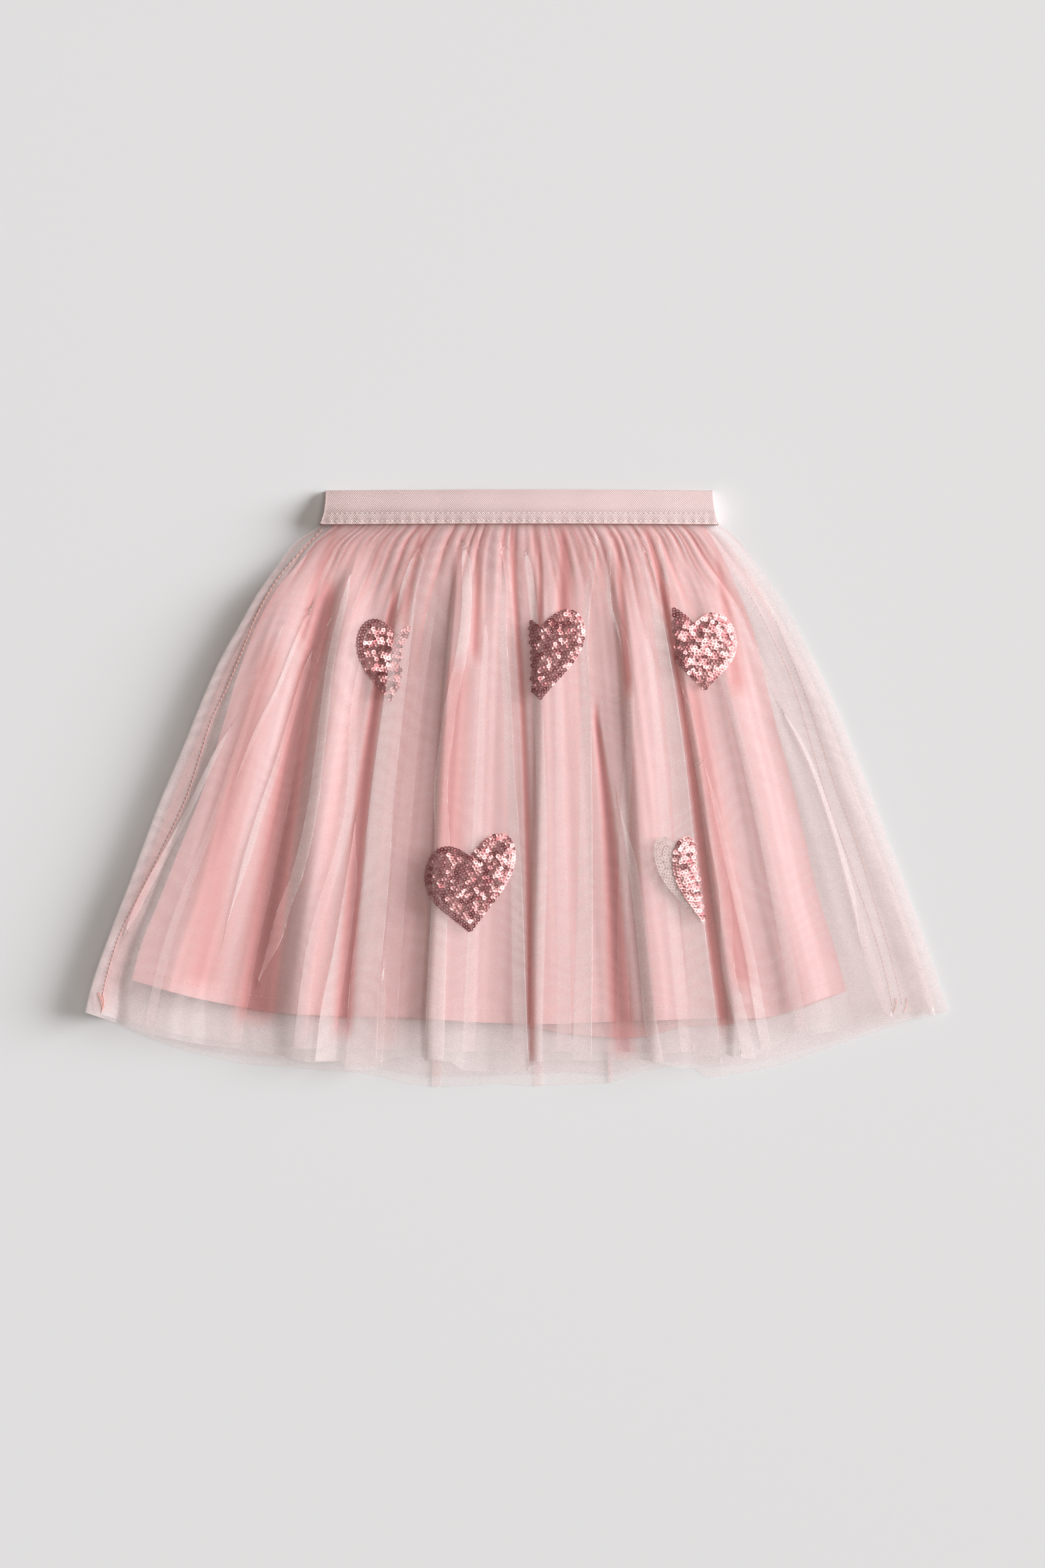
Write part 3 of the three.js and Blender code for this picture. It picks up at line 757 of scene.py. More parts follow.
class Bench:
    """Adds and joins shader nodes in one tree."""

    def __init__(self, tree: bpy.types.NodeTree) -> None:
        """Starts on an empty tree."""
        self.tree = tree
        tree.nodes.clear()

    def add(self, kind: str, **settings: object) -> bpy.types.Node:
        """Adds a node.

        Args:
            kind: its type, without the ShaderNode at its front.
            **settings: its own properties.

        Returns:
            The node.
        """
        node = self.tree.nodes.new("ShaderNode" + kind)
        for key, value in settings.items():
            setattr(node, key, value)
        return node

    def feed(self, socket: bpy.types.NodeSocket, value: object) -> None:
        """Links a socket to another, or sets its value."""
        if isinstance(value, bpy.types.NodeSocket):
            self.tree.links.new(value, socket)
        else:
            socket.default_value = value

    def maths(self, operation: str, *values: object, clamp: bool = False) -> bpy.types.NodeSocket:
        """Adds a math node.

        Args:
            operation: what it does.
            *values: numbers or sockets that it takes.
            clamp: whether the result is kept between 0 and 1.

        Returns:
            Its output.
        """
        node = self.add("Math", operation=operation, use_clamp=clamp)
        for socket, value in zip(node.inputs, values):
            self.feed(socket, value)
        return node.outputs[0]

    def mix(self, share: object, first: object, second: object) -> bpy.types.NodeSocket:
        """Mixes two colours and gives the result."""
        node = self.add("Mix", data_type="RGBA")
        for socket, value in zip((node.inputs[0], node.inputs[6], node.inputs[7]), (share, first, second)):
            self.feed(socket, value)
        return node.outputs[2]

    def noise(
        self, vector: object, scale: float, detail: float = 2.0, roughness: float = 0.5
    ) -> bpy.types.NodeSocket:
        """Adds noise and gives its value."""
        node = self.add("TexNoise")
        self.feed(node.inputs["Vector"], vector)
        self.settle(node, {"Scale": scale, "Detail": detail, "Roughness": roughness})
        return node.outputs["Fac"]

    def scaled(self, vector: object, factors: tuple[float, float, float]) -> bpy.types.NodeSocket:
        """Scales a vector along its axes."""
        node = self.add("VectorMath", operation="MULTIPLY")
        self.feed(node.inputs[0], vector)
        node.inputs[1].default_value = factors
        return node.outputs[0]

    def settle(self, node: bpy.types.Node, values: dict[str, float]) -> None:
        """Sets some of a node's inputs."""
        for key, value in values.items():
            node.inputs[key].default_value = value

    def place(self) -> bpy.types.NodeSocket:
        """Gives each point's place on its object."""
        return self.add("TexCoord").outputs["Object"]

    def split(self, vector: object) -> bpy.types.Node:
        """Splits a vector into its three parts."""
        node = self.add("SeparateXYZ")
        self.feed(node.inputs[0], vector)
        return node

    def attribute(self, name: str) -> bpy.types.NodeSocket:
        """Gives a mesh's own value at each point."""
        return self.add("Attribute", attribute_name=name).outputs["Fac"]

    def bump(self, shader: bpy.types.Node, height: object, strength: float, distance: float) -> None:
        """Raises a shader's surface.

        Args:
            shader: the shader.
            height: the surface's height.
            strength: how strongly it shows.
            distance: how high a height of 1 is, in metres.
        """
        node = self.add("Bump")
        self.settle(node, {"Strength": strength, "Distance": distance})
        self.feed(node.inputs["Height"], height)
        self.feed(shader.inputs["Normal"], node.outputs[0])


def rgba(colour: Colour) -> tuple[float, float, float, float]:
    """Adds an alpha of 1 to a colour."""
    return (*colour, 1.0)


def tinted(colour: Colour, *shares: float) -> Colour:
    """Multiplies a colour's three parts by three shares, or all of them by one."""
    factors = shares if len(shares) == 3 else shares * 3
    return tuple(part * factor for part, factor in zip(colour, factors))


def new_group(
    name: str, inputs: dict[str, float], outputs: tuple[str, ...]
) -> tuple[bpy.types.NodeTree, Bench]:
    """Starts a shader node group of plain values.

    Args:
        name: its name.
        inputs: input names with their usual values.
        outputs: output names.

    Returns:
        The group and its bench, with the two interface nodes added.
    """
    tree = bpy.data.node_groups.new(name, "ShaderNodeTree")
    for key, value in inputs.items():
        tree.interface.new_socket(key, in_out="INPUT", socket_type="NodeSocketFloat").default_value = value
    for key in outputs:
        tree.interface.new_socket(key, in_out="OUTPUT", socket_type="NodeSocketFloat")
    bench = Bench(tree)
    tree.nodes.new("NodeGroupInput")
    tree.nodes.new("NodeGroupOutput")
    return tree, bench


def net_group() -> bpy.types.NodeTree:
    """Builds the group for fine net: how its threads cover the surface, cell by cell and in watery lines."""
    inputs = {"Slant": 1.0, "Cover": 0.3, "Waves": 0.1, "Offset": 0.0}
    tree, bench = new_group("fine_net", inputs, ("Alpha", "Lines"))
    source, target = tree.nodes["Group Input"], tree.nodes["Group Output"]
    place = bench.place()
    drift = bench.noise(bench.scaled(place, (1.0, 0.7, 0.0)), 17.0, 1.5, 0.45)
    bends = bench.maths("MULTIPLY", drift, 60.0)
    turns = bench.maths("MULTIPLY_ADD", bench.split(place).outputs["Y"], 520.0, bends)
    lines = bench.maths("SINE", bench.maths("ADD", turns, source.outputs["Offset"]))
    patch = bench.maths("SMOOTH_MIN", 1.0, bench.maths("MULTIPLY", bench.noise(place, 9.0, 1.0), 1.7), 0.2)
    waves = bench.maths("MULTIPLY", bench.maths("MULTIPLY", lines, patch), source.outputs["Waves"])
    cells = bench.add("TexVoronoi", feature="DISTANCE_TO_EDGE")
    bench.feed(cells.inputs["Vector"], place)
    bench.settle(cells, {"Scale": 900.0})
    threads = bench.maths("SUBTRACT", 1.22, bench.maths("MULTIPLY", cells.outputs["Distance"], 1.3))
    cover = bench.maths("MULTIPLY", source.outputs["Cover"], bench.maths("ADD", waves, threads))
    clear = bench.maths("SUBTRACT", 1.0, cover, clamp=True)
    alpha = bench.maths("SUBTRACT", 1.0, bench.maths("POWER", clear, source.outputs["Slant"]), clamp=True)
    bench.feed(target.inputs["Alpha"], alpha)
    bench.feed(target.inputs["Lines"], waves)
    return tree


def weave_group() -> bpy.types.NodeTree:
    """Builds the group for plain weave: the height and the tone of its threads."""
    tree, bench = new_group("plain_weave", {"Across": 3000.0, "Along": 3000.0}, ("Height", "Tone"))
    source, target = tree.nodes["Group Input"], tree.nodes["Group Output"]
    place = bench.place()
    split = bench.split(place)
    wobble = bench.maths("MULTIPLY", bench.noise(place, 260.0, 2.0), 5.0)
    warp, weft = (
        bench.maths("SINE", bench.maths("MULTIPLY_ADD", split.outputs[axis], source.outputs[pitch], wobble))
        for axis, pitch in (("X", "Across"), ("Y", "Along"))
    )
    slubs = bench.noise(bench.scaled(place, (1.0, 7.0, 1.0)), 420.0, 3.0, 0.6)
    height = bench.maths("ADD", bench.maths("MULTIPLY", warp, weft), slubs)
    bench.feed(target.inputs["Height"], height)
    bench.feed(target.inputs["Tone"], slubs)
    return tree


def place_group(bench: Bench, tree: bpy.types.NodeTree, **values: object) -> bpy.types.Node:
    """Places a node group in a material.

    Args:
        bench: the material's bench.
        tree: the group.
        **values: its inputs, as numbers or sockets.

    Returns:
        The group's node.
    """
    node = bench.add("Group", node_tree=tree)
    for key, value in values.items():
        bench.feed(node.inputs[key], value)
    return node


def paint_bounce_and_shade(
    bench: Bench, plain: bpy.types.NodeSocket, full: Colour, deep: Colour
) -> bpy.types.NodeSocket:
    """Paints light bounced between the pink cloth into a dent as a fuller colour, and paints shade where the
    dent is deep.

    Args:
        bench: the material's bench.
        plain: the colour outside dents.
        full: the fuller colour painted for bounced light.
        deep: the darker colour painted for shade.

    Returns:
        The colour.
    """
    shaded_hollow = bench.attribute("shaded_hollow")
    first = bench.maths("MULTIPLY", shaded_hollow, 1.0 / PAINTED_SHADE_STEP, clamp=True)
    beyond = bench.maths("SUBTRACT", shaded_hollow, PAINTED_SHADE_STEP)
    second = bench.maths("MULTIPLY", beyond, 1.0 / (1.0 - PAINTED_SHADE_STEP), clamp=True)
    return bench.mix(second, bench.mix(first, plain, rgba(full)), rgba(deep))


def new_material(name: str) -> tuple[bpy.types.Material, Bench, bpy.types.Node]:
    """Starts a material with a Principled shader joined to its output."""
    material = bpy.data.materials.new(name)
    material.use_nodes = True
    bench = Bench(material.node_tree)
    shader = bench.add("BsdfPrincipled")
    output = bench.add("OutputMaterial")
    bench.feed(output.inputs["Surface"], shader.outputs[0])
    return material, bench, shader


@dataclass(frozen=True)
class NetFinish:
    """Soft sheer net, denser to the eye where it slants.

    Attributes:
        name: the material's name.
        thread: the colour of its threads.
        cover: how much of the view the level net covers.
        waves: how strong its watery lines are.
        offset: where those lines start.
        glow: how much of the light that its threads catch they let through, where it isn't bunched.
        edge: the painted highlight colour of its doubled edges, where the net slants or bunches.
    """

    name: str
    thread: Colour
    cover: float
    waves: float
    offset: float
    glow: float = 0.42
    edge: Colour = (0.97, 0.88, 0.88)

    # Painted tints for dents: a fuller colour for light bounced between the cloth, and painted shade where a
    # dent is deep
    PAINTED_BOUNCE_TINT = (0.92, 0.60, 0.59)
    PAINTED_SHADE_TINT = (0.68, 0.44, 0.44)

    def material(self, net: bpy.types.NodeTree) -> bpy.types.Material:
        """Makes the material.

        Args:
            net: the fine net group.

        Returns:
            The material.
        """
        material, bench, shader = new_material(self.name)
        slant = bench.attribute("slant")
        group = place_group(bench, net, Slant=slant, Cover=self.cover, Waves=self.waves, Offset=self.offset)
        shade = self.shadow_share(bench, slant)
        bench.feed(shader.inputs["Alpha"], bench.maths("MULTIPLY", group.outputs["Alpha"], shade))
        tone = bench.noise(bench.place(), 40.0, 3.0)
        plain = bench.mix(tone, rgba(tinted(self.thread, 0.9)), rgba(self.thread))
        # Painted bounced light and painted shade in dents and between gathers
        with_painted_shade = paint_bounce_and_shade(bench, plain, tinted(self.thread, *self.PAINTED_BOUNCE_TINT), tinted(self.thread, *self.PAINTED_SHADE_TINT))
        # Painted highlight: paler colour where the net slants or bunches, at fold edges and seams
        edge = bench.maths("MULTIPLY", bench.maths("SUBTRACT", slant, 1.3, clamp=True), 0.85)
        bench.feed(shader.inputs["Base Color"], bench.mix(edge, with_painted_shade, rgba(self.edge)))
        self.soften(bench, shader)
        values = {"Roughness": 0.7, "Sheen Weight": 0.25, "Sheen Roughness": 0.4, "Specular IOR Level": 0.25}
        bench.settle(shader, values)
        return material

    def shadow_share(self, bench: Bench, slant: bpy.types.NodeSocket) -> bpy.types.NodeSocket:
        """Gives how much of its cover the net keeps, which is less where a single layer throws a shadow."""
        single = bench.maths("SUBTRACT", 2.0, slant, clamp=True)
        lets = bench.maths("MULTIPLY", single, self.glow)
        passed = bench.maths("MULTIPLY", bench.add("LightPath").outputs["Is Shadow Ray"], lets)
        return bench.maths("SUBTRACT", 1.0, passed)

    def soften(self, bench: Bench, shader: bpy.types.Node) -> None:
        """Turns the surface's slopes partly up, as a mesh of round threads catches light from all sides."""
        turned = bench.add("VectorMath", operation="ADD")
        bench.feed(turned.inputs[0], bench.add("NewGeometry").outputs["Normal"])
        turned.inputs[1].default_value = (0.0, 0.0, 0.6)
        level = bench.add("VectorMath", operation="NORMALIZE")
        bench.feed(level.inputs[0], turned.outputs[0])
        bench.feed(shader.inputs["Normal"], level.outputs[0])


@dataclass(frozen=True)
class ClothFinish:
    """Smooth woven cloth with a low sheen.

    Attributes:
        name: the material's name.
        colour: the colour of its lighter threads.
        shade: and of its darker ones.
        across: how close its warp threads are.
        along: how close its weft threads are.
        bump: how strongly its weave shows.
        roughness: how dull it is.
        sheen: how much its nap catches the light.
    """

    name: str
    colour: Colour
    shade: Colour
    across: float
    along: float
    bump: float
    roughness: float
    sheen: float

    # Painted tints for dents: a fuller colour for light bounced between the cloth, and painted shade where a
    # dent is deep
    PAINTED_BOUNCE_TINT = (0.92, 0.70, 0.69)
    PAINTED_SHADE_TINT = (0.58, 0.35, 0.35)

    def material(self, weave: bpy.types.NodeTree) -> bpy.types.Material:
        """Makes the material.

        Args:
            weave: the plain weave group.

        Returns:
            The material.
        """
        material, bench, shader = new_material(self.name)
        group = place_group(bench, weave, Across=self.across, Along=self.along)
        tone = group.outputs["Tone"]
        patch = bench.noise(bench.scaled(bench.place(), (1.0, 0.4, 1.0)), 26.0, 3.0)
        share = bench.maths("MULTIPLY_ADD", tone, 0.7, bench.maths("MULTIPLY", patch, 0.35), clamp=True)
        plain = bench.mix(share, rgba(self.shade), rgba(self.colour))
        # Painted bounced light and painted shade in dents and between gathers
        with_painted_shade = paint_bounce_and_shade(bench, plain, tinted(self.shade, *self.PAINTED_BOUNCE_TINT), tinted(self.shade, *self.PAINTED_SHADE_TINT))
        bench.feed(shader.inputs["Base Color"], with_painted_shade)
        bench.bump(shader, group.outputs["Height"], self.bump, 0.0002)
        rough = bench.maths("MULTIPLY_ADD", tone, 0.2, self.roughness - 0.1, clamp=True)
        bench.feed(shader.inputs["Roughness"], rough)
        bench.settle(shader, {"Sheen Weight": self.sheen, "Sheen Roughness": 0.45})
        return material


@dataclass(frozen=True)
class SequinFinish:
    """Small metallic rings, each with its own tone.

    Attributes:
        name: the material's name.
        dark: the colour of the darkest.
        light: and of the lightest.
        metallic: how metallic they are.
        roughness: how dull they are.
    """

    name: str
    dark: Colour
    light: Colour
    metallic: float
    roughness: float

    def material(self) -> bpy.types.Material:
        """Makes the material, whose colour follows each sequin's own tone."""
        material, bench, shader = new_material(self.name)
        colour = bench.mix(bench.attribute("tone"), rgba(self.dark), rgba(self.light))
        bench.feed(shader.inputs["Base Color"], colour)
        specks = bench.noise(bench.place(), 900.0)
        rough = bench.maths("MULTIPLY_ADD", specks, 0.12, self.roughness - 0.06, clamp=True)
        bench.feed(shader.inputs["Roughness"], rough)
        bench.settle(shader, {"Metallic": self.metallic, "Coat Weight": 0.5, "Coat Roughness": 0.12})
        return material


@dataclass(frozen=True)
class ThreadFinish:
    """Sewing thread.

    Attributes:
        name: the material's name.
        colour: its colour.
    """

    name: str
    colour: Colour

    def material(self) -> bpy.types.Material:
        """Makes the material, with the thread's twist as a fine change of tone and height."""
        material, bench, shader = new_material(self.name)
        twist = bench.noise(bench.place(), 2600.0, 2.0)
        colour = bench.mix(twist, rgba(tinted(self.colour, 0.72)), rgba(self.colour))
        bench.feed(shader.inputs["Base Color"], colour)
        bench.bump(shader, twist, 0.4, 0.0001)
        bench.settle(shader, {"Roughness": 0.55, "Sheen Weight": 0.3})
        return material


@dataclass(frozen=True)
class Wardrobe:
    """Every material of the skirt, made once."""

    outer: bpy.types.Material
    inner: bpy.types.Material
    lining: bpy.types.Material
    elastic: bpy.types.Material
    piping: bpy.types.Material
    sequins: bpy.types.Material
    reverse: bpy.types.Material
    thread: bpy.types.Material
    seam: bpy.types.Material


def make_wardrobe() -> Wardrobe:
    """Makes the materials and the two groups that they share."""
    net, weave = net_group(), weave_group()
    lining = ClothFinish(
        "lining_cloth", (0.78, 0.44, 0.43), (0.71, 0.36, 0.345), 5200, 5200, 0.25, 0.5, 0.15
    )
    elastic = ClothFinish(
        "woven_elastic", (0.89, 0.69, 0.675), (0.72, 0.51, 0.495), 5600, 4200, 0.8, 0.5, 0.3
    )
    piping = ClothFinish("band_edge", (0.90, 0.68, 0.64), (0.80, 0.56, 0.52), 5200, 5200, 0.4, 0.45, 0.3)
    return Wardrobe(
        outer=NetFinish("outer_net", (0.93, 0.80, 0.785), 0.26, 0.14, 0.0).material(net),
        inner=NetFinish("inner_net", (0.92, 0.755, 0.74), 0.21, 0.18, 2.1).material(net),
        lining=lining.material(weave),
        elastic=elastic.material(weave),
        piping=piping.material(weave),
        sequins=SequinFinish("rose_sequins", (0.42, 0.11, 0.13), (0.94, 0.53, 0.53), 0.72, 0.2).material(),
        reverse=SequinFinish("sequin_backs", (0.56, 0.40, 0.38), (0.76, 0.58, 0.55), 0.2, 0.5).material(),
        thread=ThreadFinish("band_thread", (0.97, 0.80, 0.77)).material(),
        seam=ThreadFinish("seam_thread", (0.86, 0.42, 0.36)).material(),
    )


def world_points(x: np.ndarray, down: np.ndarray, z: np.ndarray) -> np.ndarray:
    """Turns places across, down and up into points of the row frame, in millimetres."""
    return np.stack([x, SKIRT_LENGTH / 2 - down, z], axis=-1)


@dataclass
class Panel:
    """One panel of net or lining, as a fine sheet on its solid's form.

    Attributes:
        name: the piece's name.
        node: the solid that it stands for.
        slot: a material slot name; not used.
        relief: how it rises and folds.
        rows: points down it.
        columns: points across it.
        cut: its flat width and length in metres before it was gathered; not used.
        cut_area: its flat area in square metres; not used.
    """

    name: str
    node: str
    slot: str
    relief: Relief
    rows: int
    columns: int
    cut: tuple[float, float]
    cut_area: float

    SETTLING = 4

    def down_at(self, along: np.ndarray, x: np.ndarray) -> np.ndarray:
        """Gives the distance down of points a share of the way from the seam to the hem."""
        return SEAM_DOWN + along * (self.relief.outline.hem_at(x) - SEAM_DOWN)

    def fold_lines(self, along: np.ndarray) -> tuple[list[np.ndarray], list[np.ndarray], list[np.ndarray]]:
        """Gives the middle, the half width and the openness of each fold in each row, from left to right."""
        middles, halves, weights = [], [], []
        for fold in sorted(self.relief.folds, key=lambda fold: fold.share_at(250.0)):
            down = self.down_at(along, np.zeros_like(along))
            for _ in range(self.SETTLING):
                down = self.down_at(along, fold.strip(down)[0])
            middle, half = fold.strip(down)
            middles.append(middle)
            halves.append(half)
            weights.append(smoothstep(0.0, 0.2, fold.strength(down)))
        return middles, halves, weights

    def side_edges(self, along: np.ndarray) -> tuple[np.ndarray, np.ndarray]:
        """Gives where the side edges lie in each row."""
        outline = self.relief.outline
        left, right = outline.edges(self.down_at(along, np.zeros_like(along)))
        for _ in range(self.SETTLING):
            left = outline.edges(self.down_at(along, left))[0]
            right = outline.edges(self.down_at(along, right))[1]
        return left, right

    @staticmethod
    def ease(places: np.ndarray, weight: np.ndarray) -> np.ndarray:
        """Lets the line of a fold that isn't open run between its neighbours, and smooths it there.

        Args:
            places: where each line lies in each row.
            weight: how open its fold is there, from 0 to 1.

        Returns:
            Where the lines lie then.
        """
        numbers = np.arange(places.shape[1])
        for row in range(len(places)):
            is_open = weight[row] > 0.02
            between_open = np.interp(numbers, numbers[is_open], places[row][is_open])
            places[row] = between_open + (places[row] - between_open) * weight[row]
        padding = SMOOTH_ROWS // 2
        padded = np.pad(places, ((padding, padding), (0, 0)), mode="edge")
        smooth = sum(padded[k:k + len(places)] for k in range(SMOOTH_ROWS)) / SMOOTH_ROWS
        steady = weight.min(axis=0) > 0.98
        return np.where(steady[None, :], places, smooth)

    def knots(self, along: np.ndarray) -> tuple[np.ndarray, np.ndarray]:
        """Gives where the side edges and the folds lie in each row, from left to right.

        Args:
            along: each row's share of the way down, as a column.

        Returns:
            Their places across, and how wide each fold's turned strip is.
        """
        middles, halves, weights = self.fold_lines(along)
        left, right = self.side_edges(along)
        whole = np.ones_like(left)
        lines = np.concatenate([left, *middles, right], axis=1)
        places = self.ease(lines, np.concatenate([whole, *weights, whole], axis=1))
        for number in range(1, places.shape[1] - 1):
            places[:, number] = np.maximum(places[:, number], places[:, number - 1] + LEAST_GAP)
        for number in range(places.shape[1] - 2, 0, -1):
            places[:, number] = np.minimum(places[:, number], places[:, number + 1] - LEAST_GAP)
        return places, np.concatenate([whole / 2, *halves, whole / 2], axis=1)

    def across(self, along: np.ndarray) -> np.ndarray:
        """Sets out the columns, close together where the cloth folds over."""
        places, widths = self.knots(along)
        gaps = np.diff(places, axis=1)
        pitch = gaps.mean(axis=0).sum() / max(8, self.columns - 2 * len(FOLD_STEPS) * gaps.shape[1])
        columns = []
        for number in range(gaps.shape[1]):
            start, gap = places[:, number:number + 1], gaps[:, number:number + 1]
            reach = gap * FOLD_STEPS * FOLD_REACH
            near = np.minimum(widths[:, number:number + 1] * FOLD_STEPS, reach)
            far = np.minimum(widths[:, number + 1:number + 2] * FOLD_STEPS, reach)
            count = max(1, round(float(gap.mean()) / pitch))
            first, last = start + near[:, -1:], start + gap - far[:, -1:]
            fill = first + (last - first) * (np.arange(1, count + 1) / (count + 1))[None, :]
            columns += [start + near, fill, (start + gap - far)[:, ::-1][:, :-1]]
        columns.append(places[:, -1:])
        return np.concatenate(columns, axis=1)

    def grid(self) -> np.ndarray:
        """Works out the sheet's points, in rows from the band to the hem."""
        along = (np.linspace(0, 1, self.rows) ** 1.12)[:, None]
        x = self.across(along)
        down = self.down_at(along, x)
        left, right = self.relief.outline.edges(down)
        moved, height = self.relief.place(np.clip(x, left, right), down)
        return world_points(moved, down, np.maximum(height, LEAST_HEIGHT))

    def build(self, material: bpy.types.Material) -> bpy.types.Object:
        """Args:
            material: its finish.

        Returns:
            The piece.
        """
        grid = self.grid()
        # The second attribute sets the painted shade and painted bounced light in dents and between gathers
        attributes = {"slant": slant_of(grid) * self.pile(grid), "shaded_hollow": self.shaded_hollow(grid)}
        sheet = make_object(self.name, grid.reshape(-1, 3), grid_quads(*grid.shape[:2]), attributes)
        piece = dress(sheet, material)
        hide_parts(self.node)
        area = sum(polygon.area for polygon in piece.data.polygons)
        LOG.info("%s: %d faces, %.4f square metres", self.name, len(piece.data.polygons), area)
        return piece

    @property
    def is_back(self) -> bool:
        """Tells whether the panel is one of the skirt's back."""
        return self.node.endswith("back")

    def shaded_hollow(self, grid: np.ndarray) -> np.ndarray:
        """Tells how much painted shade and painted bounced light each point gets, from how deep in a dent or
        between two gathers it lies, from 0 to 1.
        """
        if self.is_back:
            return np.zeros(grid.shape[:2])
        x, down = grid[..., 0], SKIRT_LENGTH / 2 - grid[..., 1]
        deep = hollow_depth(x, down)
        if self.relief.gathers:
            deep = np.maximum(deep, GATHER_SHADE * self.relief.gathers.height(x, down, gaps=True))
        return deep

    def pile(self, grid: np.ndarray) -> np.ndarray:
        """Tells how many times more net lies bunched along the side seams, most on the left."""
        x, down = grid[..., 0], SKIRT_LENGTH / 2 - grid[..., 1]
        left, right = self.relief.outline.edges(down)
        low = smoothstep(190, 300, down)
        bunched = (0.1 + 0.4 * low) * (1 - smoothstep(2, 24 + 14 * low, x - left))
        bunched += 0.7 * (1 - smoothstep(2, 20, right - x))
        return 1 + bunched * smoothstep(60, 130, down)


def tube_mesh(path: np.ndarray, radius: float, sides: int, start: int) -> tuple[np.ndarray, np.ndarray]:
    """Makes a closed thin tube along a path.

    Args:
        path: its points.
        radius: its radius.
        sides: how many sides it has.
        start: the number of its first point.

    Returns:
        Its points and faces.
    """
    ahead = np.gradient(path, axis=0)
    ahead /= np.maximum(np.linalg.norm(ahead, axis=1, keepdims=True), 1e-9)
    up = np.array([0.0, 0.0, 1.0])
    side = np.cross(ahead, up)
    side /= np.maximum(np.linalg.norm(side, axis=1, keepdims=True), 1e-9)
    over = np.cross(side, ahead)
    turn = np.linspace(0, 2 * math.pi, sides, endpoint=False)
    taper = np.ones(len(path))
    taper[0] = taper[-1] = 0.35
    ring = np.cos(turn)[None, :, None] * side[:, None, :] + np.sin(turn)[None, :, None] * over[:, None, :]
    verts = path[:, None, :] + radius * taper[:, None, None] * ring
    index = start + np.arange(len(path) * sides).reshape(len(path), sides)
    after = np.roll(index, -1, axis=1)
    quads = np.stack([index[:-1], after[:-1], after[1:], index[1:]], axis=-1).reshape(-1, 4)
    caps = []
    for ring_index, flip in ((index[0], False), (index[-1], True)):
        order = ring_index if flip else ring_index[::-1]
        for k in range(1, sides - 2, 2):
            caps.append([order[0], order[k], order[k + 1], order[k + 2]])
    return verts.reshape(-1, 3), np.concatenate([quads, np.array(caps)])


def sew_threads(
    name: str,
    paths: list[np.ndarray],
    radius: float,
    material: bpy.types.Material,
    sides: int = 6,
) -> bpy.types.Object:
    """Joins many short threads into one piece and dresses it.

    Args:
        name: the piece's name.
        paths: the threads' paths.
        radius: their radius.
        material: their finish.
        sides: how many sides each has.

    Returns:
        The piece.
    """
    verts, quads, start = [], [], 0
    for path in paths:
        points, faces = tube_mesh(path, radius, sides, start)
        verts.append(points)
        quads.append(faces)
        start += len(points)
    return dress(make_object(name, np.concatenate(verts), np.concatenate(quads), {}), material)


